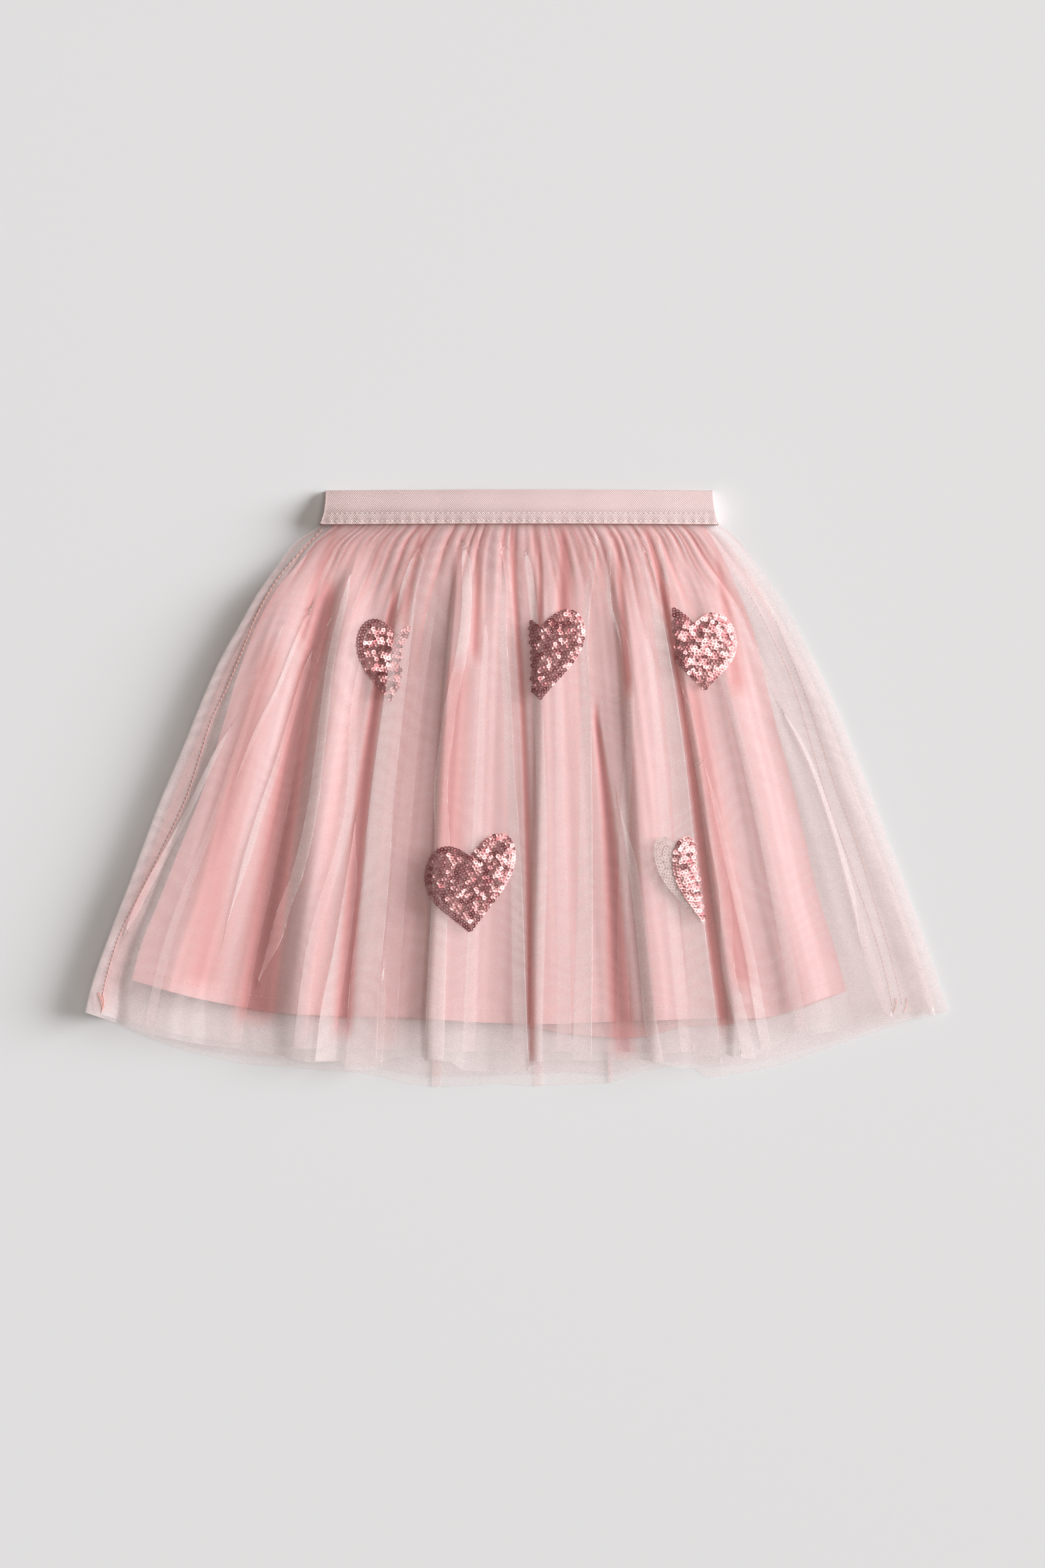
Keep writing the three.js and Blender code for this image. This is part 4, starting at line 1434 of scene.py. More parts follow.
@dataclass
class Waistband:
    """The elastic loop, with its two rows of stitches and its pale lower edge.

    Attributes:
        top_half: half its width at its top edge.
        low_half: half its width at its lower edge, which the gathers stretch.
        wall: how thick it is.
        round_end: over how much of each end its face curves down.
        end_height: how high its face is at an end.
        rise: how high its face is at its top edge and below it.
        columns: points across it.
        rows: points down it.
        stitch_rows: how far down the rows of stitches lie.
        stitch_pitch: the distance between stitches.
        stitch_length: the length of one.
        thread_radius: their thread's radius.
    """

    top_half: float = 119.5
    low_half: float = 122.7
    wall: float = 1.3
    round_end: float = 0.4
    end_height: float = 3.0
    rise: tuple[float, float] = (6.2, 12.1)
    columns: int = 300
    rows: int = 24
    stitch_rows: tuple[float, float] = (14.6, 19.4)
    stitch_pitch: float = 3.1
    stitch_length: float = 2.3
    thread_radius: float = 0.28

    def half(self, down: np.ndarray) -> np.ndarray:
        """Gives half the band's width, which flares where the gathers stretch it."""
        return between((self.top_half, self.low_half), np.clip(down / BAND_HEIGHT, 0, 1) ** 3)

    def front_height(self, x: np.ndarray, down: np.ndarray) -> np.ndarray:
        """Gives the height of the front's outer face."""
        inward = np.clip((self.half(down) - np.abs(x)) / self.round_end, 0, 1)
        curved = np.sqrt(np.clip(1 - (1 - inward) ** 2, 0, 1))
        middle = between(self.rise, smoothstep(0, 12.5, down))
        level = between((self.end_height, middle), curved) + dome(x, down)
        grooves = sum(np.exp(-(((down - row) / 0.7) ** 2)) for row in self.stitch_rows)
        puckers = 0.14 * np.sin(x * 0.9 + 2 * np.sin(x * 0.11)) * smoothstep(13, 20, down)
        waver = 0.25 * np.sin(x * 0.045 + 1.0) + 0.12 * np.sin(x * 0.16)
        return level + (puckers + waver - 0.3 * grooves) * inward

    def shell(self, name: str, top: np.ndarray, low: np.ndarray) -> bpy.types.Object:
        """Makes a closed thin shell between an upper and a lower grid.

        Args:
            name: the piece's name.
            top: the upper face's points.
            low: the lower face's points.

        Returns:
            The piece.
        """
        rows, columns = top.shape[:2]
        count = rows * columns
        upper = grid_quads(rows, columns)
        lower = grid_quads(rows, columns, count)[:, ::-1]
        index = np.arange(count).reshape(rows, columns)
        rim = np.concatenate([index[0, :], index[1:, -1], index[-1, -2::-1], index[-2:0:-1, 0]])
        after = np.roll(rim, -1)
        walls = np.stack([rim, after, after + count, rim + count], axis=1)
        verts = np.concatenate([top.reshape(-1, 3), low.reshape(-1, 3)])
        return make_object(name, verts, np.concatenate([upper, lower, walls]), {})

    def build(self, wardrobe: Wardrobe) -> list[bpy.types.Object]:
        """Makes both halves of the band and what is sewn on them.

        Args:
            wardrobe: the skirt's materials.

        Returns:
            The pieces.
        """
        even = np.linspace(-1, 1, self.columns)[None, :]
        share = np.sign(even) * (1 - (1 - np.abs(even)) ** 1.15)
        down = np.repeat(np.linspace(0, BAND_HEIGHT, self.rows)[:, None], self.columns, axis=1)
        x = share * self.half(down)
        top = world_points(x, down, self.front_height(x, down))
        flat = world_points(x, down, np.full_like(x, self.wall + 0.1))
        through = np.array([0.0, 0.0, self.wall])
        front = dress(self.shell("elastic_front", top, top - through), wardrobe.elastic)
        back = dress(self.shell("elastic_back", flat, flat - through), wardrobe.elastic)
        halves = ((front, "waistband_front", ["outer_net_front"]), (back, "waistband_back", []))
        for piece, node, under in halves:
            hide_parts(node)
        return [front, back, self.stitches(wardrobe.thread), self.lower_edge(wardrobe.piping)]

    def stitches(self, material: bpy.types.Material) -> bpy.types.Object:
        """Sews the two rows of stitches."""
        rng = random.Random(5)
        half = self.top_half - 3
        sink = np.array([-0.25, 0.14, 0.22, 0.14, -0.25])
        paths = []
        for row in self.stitch_rows:
            for number in range(int(2 * half / self.stitch_pitch)):
                start = -half + number * self.stitch_pitch + rng.uniform(-0.15, 0.15)
                across = np.linspace(start, start + self.stitch_length, len(sink))
                down = row + rng.uniform(-0.12, 0.12) + np.linspace(-0.1, 0.1, len(sink))
                paths.append(world_points(across, down, self.front_height(across, down) + sink))
        return sew_threads("band_stitches", paths, self.thread_radius, material)

    def lower_edge(self, material: bpy.types.Material) -> bpy.types.Object:
        """Makes the thin pale edge along the bottom of the band."""
        x = np.linspace(-self.low_half + 1.2, self.low_half - 1.2, 240)
        down = np.full_like(x, BAND_HEIGHT - 0.1)
        path = world_points(x, down, self.front_height(x, down) - 0.35)
        return sew_threads("band_lower_edge", [path], 0.5, material, 8)


@dataclass
class Seam:
    """A line of sewing down a panel, with the loose threads at its end.

    Attributes:
        name: the piece's name.
        path: its line, as pairs of a distance down and a place across.
        relief: how the panel lies.
        radius: the thread's radius.
        lift: how far over the cloth the thread lies.
        pitch: the distance between stitches.
    """

    name: str
    path: Points
    relief: Relief
    radius: float = 0.28
    lift: float = 0.25
    pitch: float = 2.6

    def build(self, material: bpy.types.Material) -> bpy.types.Object:
        """Sews the seam and gives the piece."""
        paths = self.stitches() + self.loose_threads()
        return sew_threads(self.name, paths, self.radius, material)

    def stitches(self) -> list[np.ndarray]:
        """Sets out the stitches."""
        sink = np.array([-0.15, 0.1, 0.16, 0.1, -0.15])
        paths = []
        place, last = self.path[0][0], self.path[-1][0]
        while place < last - self.pitch:
            down = np.linspace(place, place + self.pitch * 0.86, len(sink))
            paths.append(self.on_cloth(curve_through(self.path, down), down, sink))
            place += self.pitch
        return paths

    def loose_threads(self) -> list[np.ndarray]:
        """Sets out the loose threads at the hem."""
        rng = random.Random(len(self.name))
        last, across = self.path[-1]
        turn = np.linspace(0, 1, 14)
        paths = []
        for _ in range(3):
            bend = rng.uniform(-1, 1)
            x = across + 1.6 * np.sin(turn * 3 + bend) + bend
            paths.append(self.on_cloth(x, last - 6 + turn * rng.uniform(9, 13), 0.4 * np.sin(turn * 3)))
        return paths

    def on_cloth(self, x: np.ndarray, down: np.ndarray, over: np.ndarray) -> np.ndarray:
        """Puts points just over the cloth."""
        height = self.relief.place(x, down)[1]
        return world_points(x, down, height + self.lift + over)


@dataclass
class HemStitches:
    """The row of stitches that holds the lining's turned hem.

    Attributes:
        relief: how the lining lies.
        above: how far over the hem the row runs.
        pitch: the distance between stitches.
        length: the length of one.
        radius: the thread's radius.
    """

    relief: Relief
    above: float = 8.0
    pitch: float = 3.4
    length: float = 2.4
    radius: float = 0.2

    def build(self, material: bpy.types.Material) -> bpy.types.Object:
        """Sews the hem from one side seam to the other, and gives the piece."""
        outline = self.relief.outline
        left, right = (float(edge) for edge in outline.edges(np.array(300.0)))
        paths = []
        for start in np.arange(left + 9, right - 9, self.pitch):
            x = np.linspace(start, start + self.length, 4)
            down = outline.hem_at(x) - self.above
            moved, height = self.relief.place(x, down)
            paths.append(world_points(moved, down, height + np.array([-0.1, 0.12, 0.12, -0.1])))
        return sew_threads("lining_hem_stitches", paths, self.radius, material)


class Ghost(Enum):
    """How the part of a heart that a fold hides shows through the net."""

    NONE = 0
    UNDER = 1
    TURNED = 2


@dataclass(frozen=True)
class Heart:
    """One heart of sequins.

    Attributes:
        node: the solid that it stands for.
        x: the middle, across.
        down: and down.
        width: its width.
        height: its height.
        turn: its turn in degrees.
        skew: how far up each millimetre to the right goes.
        edge: the line that cuts it off, as pairs of a distance down and a place across.
        keep: which side of the line shows.
        ghost: how the rest shows.
        limit: where the ghost ends, as such a line.
        creased: how far from the line the sequins lean into a crease and get painted shade on their tone.
        shine: how many more of its sequins catch the light than usual, as a share.
        banded: how much whole rows of them catch it together.
        seed: seeds its sequins.
    """

    node: str
    x: float
    down: float
    width: float
    height: float
    turn: float = 0.0
    skew: float = 0.0
    edge: Points | None = None
    keep: Side = Side.LEFT
    ghost: Ghost = Ghost.NONE
    limit: Points | None = None
    creased: float = 0.0
    shine: float = 0.0
    banded: float = 0.2
    seed: int = 1

    def outline(self, count: int = 150) -> np.ndarray:
        """Gives its outline around its own middle, across and down, before its turn and lean."""
        angle = np.linspace(0, 2 * math.pi, count, endpoint=False)
        across = np.sign(np.sin(angle)) * np.abs(np.sin(angle)) ** HEART_FULLNESS / 2
        waves = ((13, 1), (-5, 2), (-2, 3), (-1, 4))
        up = (sum(size * np.cos(turns * angle) for size, turns in waves) + 2.5) / 29
        from_notch = np.minimum(angle, 2 * math.pi - angle)
        up += NOTCH_FILL * np.exp(-((from_notch / 0.45) ** 2))
        return np.stack([across * self.width, -up * self.height], axis=1)

    def beyond(self, x: float, down: float) -> float:
        """Tells how far past the line that cuts the heart off a place lies."""
        if not self.edge:
            return -self.width
        return self.keep.value * (float(curve_through(self.edge, np.array([down]))[0]) - x)

    def on_panel(self, px: float, py: float) -> tuple[float, float]:
        """Turns a place around its middle into one on the panel."""
        across, up = px, self.skew * px - py
        angle = math.radians(self.turn)
        return (
            self.x + across * math.cos(angle) + up * math.sin(angle),
            self.down + across * math.sin(angle) - up * math.cos(angle),
        )


HEARTS = [
    Heart(
        "heart_upper_left", -76, 106, 49, 52, 4,
        edge=[(70, -75), (81.8, -76.5), (91.8, -77.9), (111.9, -81.2), (130, -83.6), (140, -84.6)],
        ghost=Ghost.UNDER,
        limit=[(84, -66), (88, -68), (103, -72), (120.5, -74), (132, -80)],
        shine=0.2, banded=0.45, seed=1,
    ),
    Heart(
        "heart_upper_middle", 13, 102, 55, 54, skew=0.1,
        edge=[(70, 6.3), (130, 8.2)],
        keep=Side.RIGHT, creased=5.0, shine=-0.34, banded=0.12, seed=2,
    ),
    Heart(
        "heart_upper_right", 109.8, 98.5, 49, 51, -9, -0.3,
        edge=[(70, 93.4), (75, 93.9), (113, 97.2), (130, 98.8)],
        keep=Side.RIGHT, creased=6.0, shine=0.06, banded=0.3, seed=3,
    ),
    Heart("heart_lower_left", -30, 243, 56, 57, skew=0.25, shine=-0.1, banded=0.12, seed=4),
    Heart(
        "heart_lower_right", 113.5, 239.5, 40, 55,
        edge=[(208, 105.2), (211, 105.8), (241, 109.9), (267, 113.4)],
        ghost=Ghost.TURNED,
        limit=[(208, 82.8), (270, 82.8)],
        shine=0.78, banded=0.45, seed=5,
    ),
]


class HeightMap:
    """The highest and the lowest cloth of a panel over a grid of small squares."""

    CELL = 0.8

    def __init__(self, grid: np.ndarray) -> None:
        """Reads the heights from a panel's points."""
        points = self.halved(self.halved(grid)).reshape(-1, 3)
        self.low = points.min(axis=0)[:2] - 2 * self.CELL
        size = np.ceil((points.max(axis=0)[:2] - self.low) / self.CELL).astype(int) + 3
        across, along = self.cell(points[:, 0], points[:, 1])
        self.top = np.full(size, -np.inf)
        self.bottom = np.full(size, np.inf)
        np.maximum.at(self.top, (across, along), points[:, 2])
        np.minimum.at(self.bottom, (across, along), points[:, 2])

    @staticmethod
    def halved(grid: np.ndarray) -> np.ndarray:
        """Adds a point halfway between every two of a grid."""
        middle = (grid[1:] + grid[:-1]) / 2
        rows = np.empty((len(grid) + len(middle), grid.shape[1], 3))
        rows[0::2], rows[1::2] = grid, middle
        middle = (rows[:, 1:] + rows[:, :-1]) / 2
        fine = np.empty((len(rows), rows.shape[1] + middle.shape[1], 3))
        fine[:, 0::2], fine[:, 1::2] = rows, middle
        return fine

    def cell(self, x: np.ndarray, y: np.ndarray) -> tuple[np.ndarray, np.ndarray]:
        """Gives the square of a place."""
        return (
            ((np.asarray(x) - self.low[0]) / self.CELL).astype(int),
            ((np.asarray(y) - self.low[1]) / self.CELL).astype(int),
        )

    def read(self, x: float, down: float, highest: bool) -> float:
        """Reads a height.

        Args:
            x: the place across.
            down: the place down.
            highest: whether the highest cloth there is meant, or the lowest.

        Returns:
            Its height.
        """
        i, j = self.cell(x, SKIRT_LENGTH / 2 - down)
        near = (slice(int(i) - 1, int(i) + 2), slice(int(j) - 1, int(j) + 2))
        return float(self.top[near].max()) if highest else float(self.bottom[near].min())


@dataclass
class Sequins:
    """Sews hearts of small overlapping rings on the outer net.

    Attributes:
        surface: the heights of the outer net's front.
        outer: a sequin's outer radius.
        hole: its hole's radius.
        cup: how much its middle is dished.
        wall: how thick it is at its hole.
        sides: how many sides it has.
        pitch: the distance between sequins in a row.
        row_pitch: the distance between rows.
        edge_insets: how far inside the outline the edge rows run.
        inner_inset: how far inside it the other rows start.
    """

    surface: HeightMap
    outer: float = 1.36
    hole: float = 0.44
    cup: float = 0.04
    wall: float = 0.12
    sides: int = 12
    pitch: float = 2.15
    row_pitch: float = 2.05
    edge_insets: tuple[float, float] = (1.3, 3.2)
    inner_inset: float = 4.7

    def places(self, heart: Heart) -> list[tuple[float, float, int]]:
        """Sets out the sequins.

        Args:
            heart: the heart.

        Returns:
            Their places around its middle, and the number of their row, which is 0 for the edge rows.
        """
        outline = heart.outline()
        return self.edge_rows(heart, outline) + self.inner_rows(heart, outline)

    def edge_rows(self, heart: Heart, outline: np.ndarray) -> list[tuple[float, float, int]]:
        """Sets out the sequins that follow a heart's outline."""
        closed = np.vstack([outline, outline[:1]])
        length = np.concatenate([[0], np.cumsum(np.linalg.norm(np.diff(closed, axis=0), axis=1))])
        found = []
        for inset in self.edge_insets:
            shrink = 1 - 2 * inset / heart.width
            count = int(length[-1] * shrink / self.pitch)
            for number in range(count):
                at = (number + 0.5) / count * length[-1]
                px, py = (np.interp(at, length, closed[:, axis]) * shrink for axis in (0, 1))
                found.append((px, py, 0))
        return found

    def inner_rows(self, heart: Heart, outline: np.ndarray) -> list[tuple[float, float, int]]:
        """Sets out the sequins inside, in rows from top to bottom."""
        rng = random.Random(heart.seed)
        inner = outline * (1 - 2 * self.inner_inset / heart.width)
        found = []
        for row in range(int(heart.height / self.row_pitch)):
            px = -heart.width / 2 + (row % 2) * self.pitch / 2
            while px < heart.width / 2:
                sag = 0.9 * math.sin(px * 0.22 + heart.seed)
                py = -heart.height / 2 + (row + 0.5) * self.row_pitch + sag
                x, y = px + rng.uniform(-0.3, 0.3), py + rng.uniform(-0.22, 0.22)
                if self.is_inside(inner, x, y):
                    found.append((x, y, row + 1))
                px += self.pitch
        return found

    @staticmethod
    def is_inside(edge: np.ndarray, x: float, y: float) -> bool:
        """Tells whether a point is inside an outline."""
        after = np.roll(edge, -1, axis=0)
        crosses = (edge[:, 1] > y) != (after[:, 1] > y)
        with np.errstate(divide="ignore", invalid="ignore"):
            at = (after[:, 0] - edge[:, 0]) * (y - edge[:, 1]) / (after[:, 1] - edge[:, 1]) + edge[:, 0]
        return bool(np.count_nonzero(crosses & (x < at)) % 2)

    def ring(self) -> tuple[np.ndarray, np.ndarray]:
        """Makes one flat dished ring as a closed thin solid."""
        turn = np.linspace(0, 2 * math.pi, self.sides, endpoint=False)
        round_ = np.stack([np.cos(turn), np.sin(turn), np.zeros(self.sides)], axis=1)
        lift = np.array([0.0, 0.0, 1.0])
        rings = [
            round_ * self.hole,
            round_ * self.outer * 0.86 + lift * self.cup,
            round_ * self.outer + lift * (self.cup * 0.8),
            round_ * self.hole - lift * self.wall,
        ]
        count = self.sides
        index = np.arange(4 * count).reshape(4, count)
        after = np.roll(index, -1, axis=1)
        pairs = ((0, 1), (1, 2), (2, 3), (3, 0))
        quads = [np.stack([index[a], index[b], after[b], after[a]], axis=1) for a, b in pairs]
        return np.concatenate(rings), np.concatenate(quads)

    def sew(self, name: str, spots: list[tuple[float, ...]], finish: bpy.types.Material) -> bpy.types.Object:
        """Joins rings at many spots into one piece.

        Args:
            name: the piece's name.
            spots: for each ring its x, down, height, how it leans right and down, and its tone.
            finish: its material.

        Returns:
            The piece.
        """
        ring, quads = self.ring()
        data = np.array(spots)
        centre = world_points(data[:, 0], data[:, 1], data[:, 2])
        verts = ring[None, :, :] + centre[:, None, :]
        verts[:, :, 2] += data[:, 4:5] * ring[None, :, 1] - data[:, 3:4] * ring[None, :, 0]
        faces = quads[None, :, :] + (np.arange(len(data)) * len(ring))[:, None, None]
        tone = np.repeat(data[:, 5], len(ring))
        piece = make_object(name, verts.reshape(-1, 3), faces.reshape(-1, 4), {"tone": tone}, smooth=False)
        return dress(piece, finish)

    @staticmethod
    def lean(heart: Heart, px: float, py: float, row: int, rng: random.Random) -> tuple[float, float]:
        """Tells how far a sequin leans to the right and down the skirt, as slopes.

        Patches of a row lie level and catch the light, and others lean to the left.

        Args:
            heart: its heart.
            px: its place across, from the heart's middle.
            py: and down; not used.
            row: its row's number, which is 0 for the edge rows.
            rng: draws how much it differs.

        Returns:
            The two slopes.
        """
        wave = math.sin(row * 1.7 + 1.2 * math.sin(px * 0.18 + heart.seed) + heart.seed * 1.3)
        patch = math.sin(px * 0.33 + row * 0.5 + heart.seed * 2.1)
        side = px / (heart.width / 2)
        fleck = math.sin(px * 0.74 - row * 0.93 + heart.seed * 3.3)
        if row:
            level = 0.42 + heart.banded * wave + 0.24 * patch + 0.26 * fleck + 0.2 * side + heart.shine
            level += rng.gauss(0.0, 0.3)
        else:
            level = 0.34 + 0.7 * side + heart.shine + rng.gauss(0.0, 0.22)
        level = min(1.0, max(0.0, level))
        right = between((-0.17, 0.05), level) + rng.gauss(0.0, 0.03)
        return right, between((0.09, -0.02), level) + rng.gauss(0.0, 0.03)

    def build(self, heart: Heart, wardrobe: Wardrobe) -> list[bpy.types.Object]:
        """Makes a heart, and what shows through the net of the part that a fold hides.

        Args:
            heart: the heart.
            wardrobe: the skirt's materials.

        Returns:
            The pieces.
        """
        rng = random.Random(heart.seed + 100)
        face: list[tuple[float, ...]] = []
        under: list[tuple[float, ...]] = []
        for px, py, row in self.places(heart):
            x, down = heart.on_panel(px, py)
            right, low = self.lean(heart, px, py, row, rng)
            tone = min(1.0, max(0.0, rng.gauss(0.45, 0.25)))
            over = 0.4 + 0.26 * (len(face) % 2) + rng.uniform(0, 0.12)
            beyond = heart.beyond(x, down)
            if beyond > 0.3:
                under += self.hidden(heart, x, down, beyond, (right, low, tone))
                continue
            # In the crease the sequins lean away, and their tone is darkened as painted shade
            if heart.creased and -beyond < heart.creased:
                right -= 0.16 * (1 + beyond / heart.creased)
                tone *= 0.75
            face.append((x, down, self.surface.read(x, down, True) + over, right, low, tone))
        piece = self.sew(heart.node + "_sequins", face, wardrobe.sequins)
        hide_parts(heart.node)
        if not under:
            return [piece]
        finish = wardrobe.reverse if heart.ghost is Ghost.TURNED else wardrobe.sequins
        return [piece, self.sew(heart.node + "_turned_under", under, finish)]

    def hidden(
        self, heart: Heart, x: float, down: float, beyond: float, look: tuple[float, ...]
    ) -> list[tuple[float, ...]]:
        """Places a sequin that a fold hides, if it shows through the net.

        Args:
            heart: its heart.
            x: where it would lie.
            down: its distance down.
            beyond: how far past the fold's edge that is.
            look: its leans and tone.

        Returns:
            The spot, or nothing.
        """
        if heart.ghost is Ghost.NONE:
            return []
        if heart.ghost is Ghost.TURNED:
            x += 2 * beyond * heart.keep.value
        limit = float(curve_through(heart.limit, np.array([down]))[0])
        if heart.ghost is Ghost.TURNED and x < limit or heart.ghost is Ghost.UNDER and x > limit:
            return []
        top, bottom = self.surface.read(x, down, True), self.surface.read(x, down, False)
        sunk = 1.5 if heart.ghost is Ghost.TURNED else 0.8
        return [(x, down, max(bottom, top - sunk) - 0.2, *look)]


@dataclass
class Studio:
    """The pale surface, the soft light from the right and the camera straight overhead.

    Attributes:
        span: how much of the surface the picture is high.
        distance: how far over the skirt the camera is.
        look_x: how far right of the skirt's middle it looks.
        look_y: and how far up.
        sun_elevation: how high the key light stands, in degrees.
        sun_turn: how far it is turned from the right towards the band.
        sun_strength: its strength.
        sun_softness: how wide it looks, in degrees.
        sun_tint: its colour.
        box_power: the power of the soft box overhead.
        box_size: its width in metres.
        box_place: its place in metres.
        box_tint: its colour.
        sky: the colour of the light from all sides.
        floor_tone: the surface's colour.
    """

    span: float = 964.0
    distance: float = 2200.0
    look_x: float = 2.05
    look_y: float = 2.05
    sun_elevation: float = 22.5
    sun_turn: float = 12.0
    sun_strength: float = 4.92
    sun_softness: float = 36.0
    sun_tint: Colour = (0.98, 1.008, 1.045)
    box_power: float = 31.0
    box_size: float = 1.5
    box_place: tuple[float, float, float] = (0.5, 0.3, 4.0)
    box_tint: Colour = (1.0, 0.955, 0.91)
    sky: Colour = (0.182, 0.160, 0.144)
    floor_tone: Colour = (0.80, 0.80, 0.80)

    def build(self) -> None:
        """Sets up the surface, the lights and the camera."""
        self.floor()
        self.light()
        self.camera()

    def floor(self) -> None:
        """Makes the surface."""
        bpy.ops.mesh.primitive_plane_add(size=6.0, location=(0, 0, -0.0002))
        floor = bpy.context.object
        floor.name = "studio_floor"
        material, bench, shader = new_material("studio_paper")
        grain = bench.noise(bench.place(), 900.0, 3.0)
        tone = bench.mix(grain, rgba(tinted(self.floor_tone, 0.985)), rgba(self.floor_tone))
        bench.feed(shader.inputs["Base Color"], tone)
        bench.settle(shader, {"Roughness": 0.9, "Specular IOR Level": 0.1})
        floor.data.materials.append(material)

    def light(self) -> None:
        """Hangs a broad soft key light at the right and lights the rest evenly."""
        lamp = bpy.data.lights.new("key_light", "SUN")
        lamp.energy = self.sun_strength
        lamp.color = self.sun_tint
        lamp.angle = math.radians(self.sun_softness)
        rise, turn = math.radians(self.sun_elevation), math.radians(self.sun_turn)
        across, along = math.cos(rise) * math.cos(turn), math.cos(rise) * math.sin(turn)
        toward = Vector((across, along, math.sin(rise)))
        self.hang(lamp).rotation_euler = toward.to_track_quat("Z", "Y").to_euler()
        panel = bpy.data.lights.new("soft_box", "AREA")
        panel.energy = self.box_power
        panel.color = self.box_tint
        panel.size = self.box_size
        self.hang(panel).location = self.box_place
        world = bpy.data.worlds.new("studio_sky")
        world.use_nodes = True
        background = world.node_tree.nodes["Background"]
        background.inputs["Color"].default_value = rgba(self.sky)
        background.inputs["Strength"].default_value = 1.0
        bpy.context.scene.world = world

    @staticmethod
    def hang(data: bpy.types.ID) -> bpy.types.Object:
        """Puts a light or a camera in the scene and gives its object."""
        thing = bpy.data.objects.new(data.name, data)
        bpy.context.scene.collection.objects.link(thing)
        return thing

    def camera(self) -> None:
        """Puts the camera straight over the skirt."""
        lens = bpy.data.cameras.new("overhead_camera")
        lens.sensor_fit = "VERTICAL"
        lens.sensor_height = 36.0
        lens.lens = 36.0 * self.distance / self.span
        lens.clip_end = 20.0
        camera = self.hang(lens)
        camera.location = (self.look_x * MM, self.look_y * MM, (self.distance + 6.0) * MM)
        bpy.context.scene.camera = camera


def make_reliefs() -> dict[str, Relief]:
    """Sets out how each layer rises and folds."""
    front = Gathers(11, (3, 14), 3.0, (30, 120))
    front_inner = Gathers(23, (4, 11), 1.8, (30, 90))
    front_lining = Gathers(31, (4, 9), 1.7, (30, 80))
    back_inner = Gathers(43, (4, 11), 0.9, (30, 90))
    back = Gathers(47, (4, 11), 0.9, (30, 90))
    return {
        "outer_front": Relief(Layer.OUTER_FRONT, OUTER_FRONT, OUTER_FOLDS, front, 0.95, 1.9, 0.16, 3),
        "inner_front": Relief(Layer.INNER_FRONT, INNER_FRONT, INNER_FOLDS, front_inner, 1.0, 1.0, 0.12, 4),
        "lining_front": Relief(Layer.LINING_FRONT, LINING_FRONT, [], front_lining, 1.0, 0.0, 0.14, 5, 0.4),
        "lining_back": Relief(Layer.LINING_BACK, LINING_BACK, crinkle=0.12, seed=6),
        "inner_back": Relief(Layer.INNER_BACK, INNER_BACK, BACK_FOLDS[1:], back_inner, crinkle=0.08, seed=7),
        "outer_back": Relief(Layer.OUTER_BACK, OUTER_BACK, BACK_FOLDS, back),
    }


# Each panel's name, solid, slot, relief, rows, columns, and flat width, length and area before gathering
PANELS = [
    ("outer_net_back", "outer_tulle_back", "outer_tulle", "outer_back", 90, 330, (0.66, 0.345), 0.20),
    ("inner_net_back", "inner_tulle_back", "inner_tulle", "inner_back", 80, 300, (0.64, 0.340), 0.19),
    ("lining_cloth_back", "lining_back", "lining", "lining_back", 70, 200, (0.48, 0.315), 0.125),
    ("lining_cloth_front", "lining_front", "lining", "lining_front", 120, 360, (0.48, 0.310), 0.125),
    ("inner_net_front", "inner_tulle_front", "inner_tulle", "inner_front", 110, 440, (0.72, 0.330), 0.21),
    ("outer_net_front", "outer_tulle_front", "outer_tulle", "outer_front", 150, 640, (0.78, 0.335), 0.25),
]


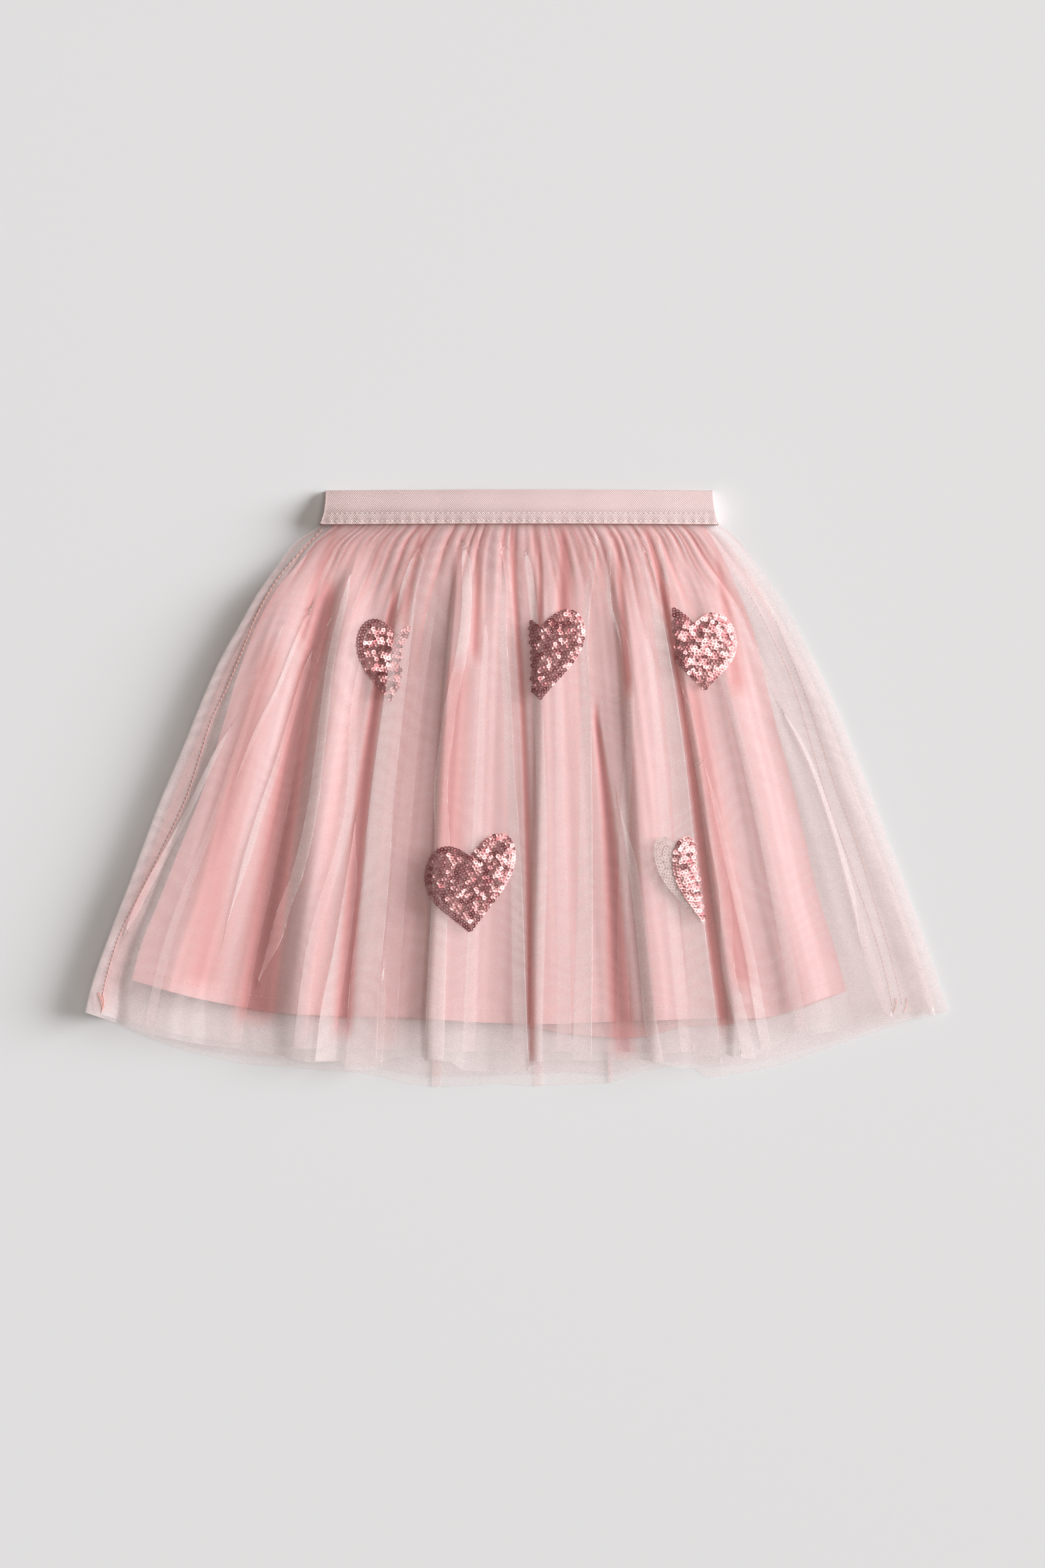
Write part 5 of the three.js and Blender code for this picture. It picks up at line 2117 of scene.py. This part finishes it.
def make_panels(reliefs: dict[str, Relief], wardrobe: Wardrobe) -> np.ndarray:
    """Makes the six panels, from the surface up, and gives the points of the outer net's front.

    Args:
        reliefs: how each layer rises and folds.
        wardrobe: the skirt's materials.

    Returns:
        The topmost panel's points, in rows from the band to the hem.
    """
    finishes = {"outer_tulle": wardrobe.outer, "inner_tulle": wardrobe.inner, "lining": wardrobe.lining}
    for name, node, slot, relief, rows, columns, cut, area in PANELS:
        panel = Panel(name, node, slot, reliefs[relief], rows, columns, cut, area)
        panel.build(finishes[slot])
    return panel.grid()


LEFT_SEAM: Points = [
    (24, -121), (55, -148), (76, -160), (98, -169), (122, -179), (142, -188.5), (161, -194.5),
    (190, -204.2), (216.5, -216.5), (247, -231.7), (270.6, -243.5), (297, -252), (314, -256),
]
RIGHT_SEAM: Points = [
    (60, 140), (110, 165), (171, 184), (196, 191.5), (228, 203), (257, 213), (290, 223.5), (318, 229.6),
]
RIGHT_SEAM_EDGE: Points = [
    (80, 158), (130, 178), (180, 194), (214, 206.6), (255, 219.4), (290, 229.6), (318, 236.2),
]


def sew_seams(reliefs: dict[str, Relief], wardrobe: Wardrobe) -> list[bpy.types.Object]:
    """Sews the side seams and the lining's hem, and gives the pieces."""
    outer, inner = reliefs["outer_front"], reliefs["inner_front"]
    return [
        Seam("left_side_seam", LEFT_SEAM, outer).build(wardrobe.seam),
        Seam("right_side_seam", RIGHT_SEAM, inner, radius=0.2, lift=0.2).build(wardrobe.seam),
        Seam("right_seam_edge", RIGHT_SEAM_EDGE, inner, radius=0.16, lift=0.2).build(wardrobe.seam),
        HemStitches(reliefs["lining_front"]).build(wardrobe.seam),
    ]


def main() -> None:
    """Loads the frame, builds every piece around it and reports each one."""
    logging.basicConfig(level=logging.INFO, format="%(name)s %(message)s")
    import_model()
    Studio().build()
    wardrobe = make_wardrobe()
    reliefs = make_reliefs()
    surface = HeightMap(make_panels(reliefs, wardrobe))
    pieces = Waistband().build(wardrobe)
    pieces += sew_seams(reliefs, wardrobe)
    sequins = Sequins(surface)
    for heart in HEARTS:
        pieces += sequins.build(heart, wardrobe)
    for piece in pieces:
        LOG.info("%s has %d faces", piece.name, len(piece.data.polygons))
    scene = bpy.context.scene
    scene.view_settings.view_transform = "Standard"
    scene.cycles.transparent_max_bounces = 40


if __name__ == "__main__":
    main()
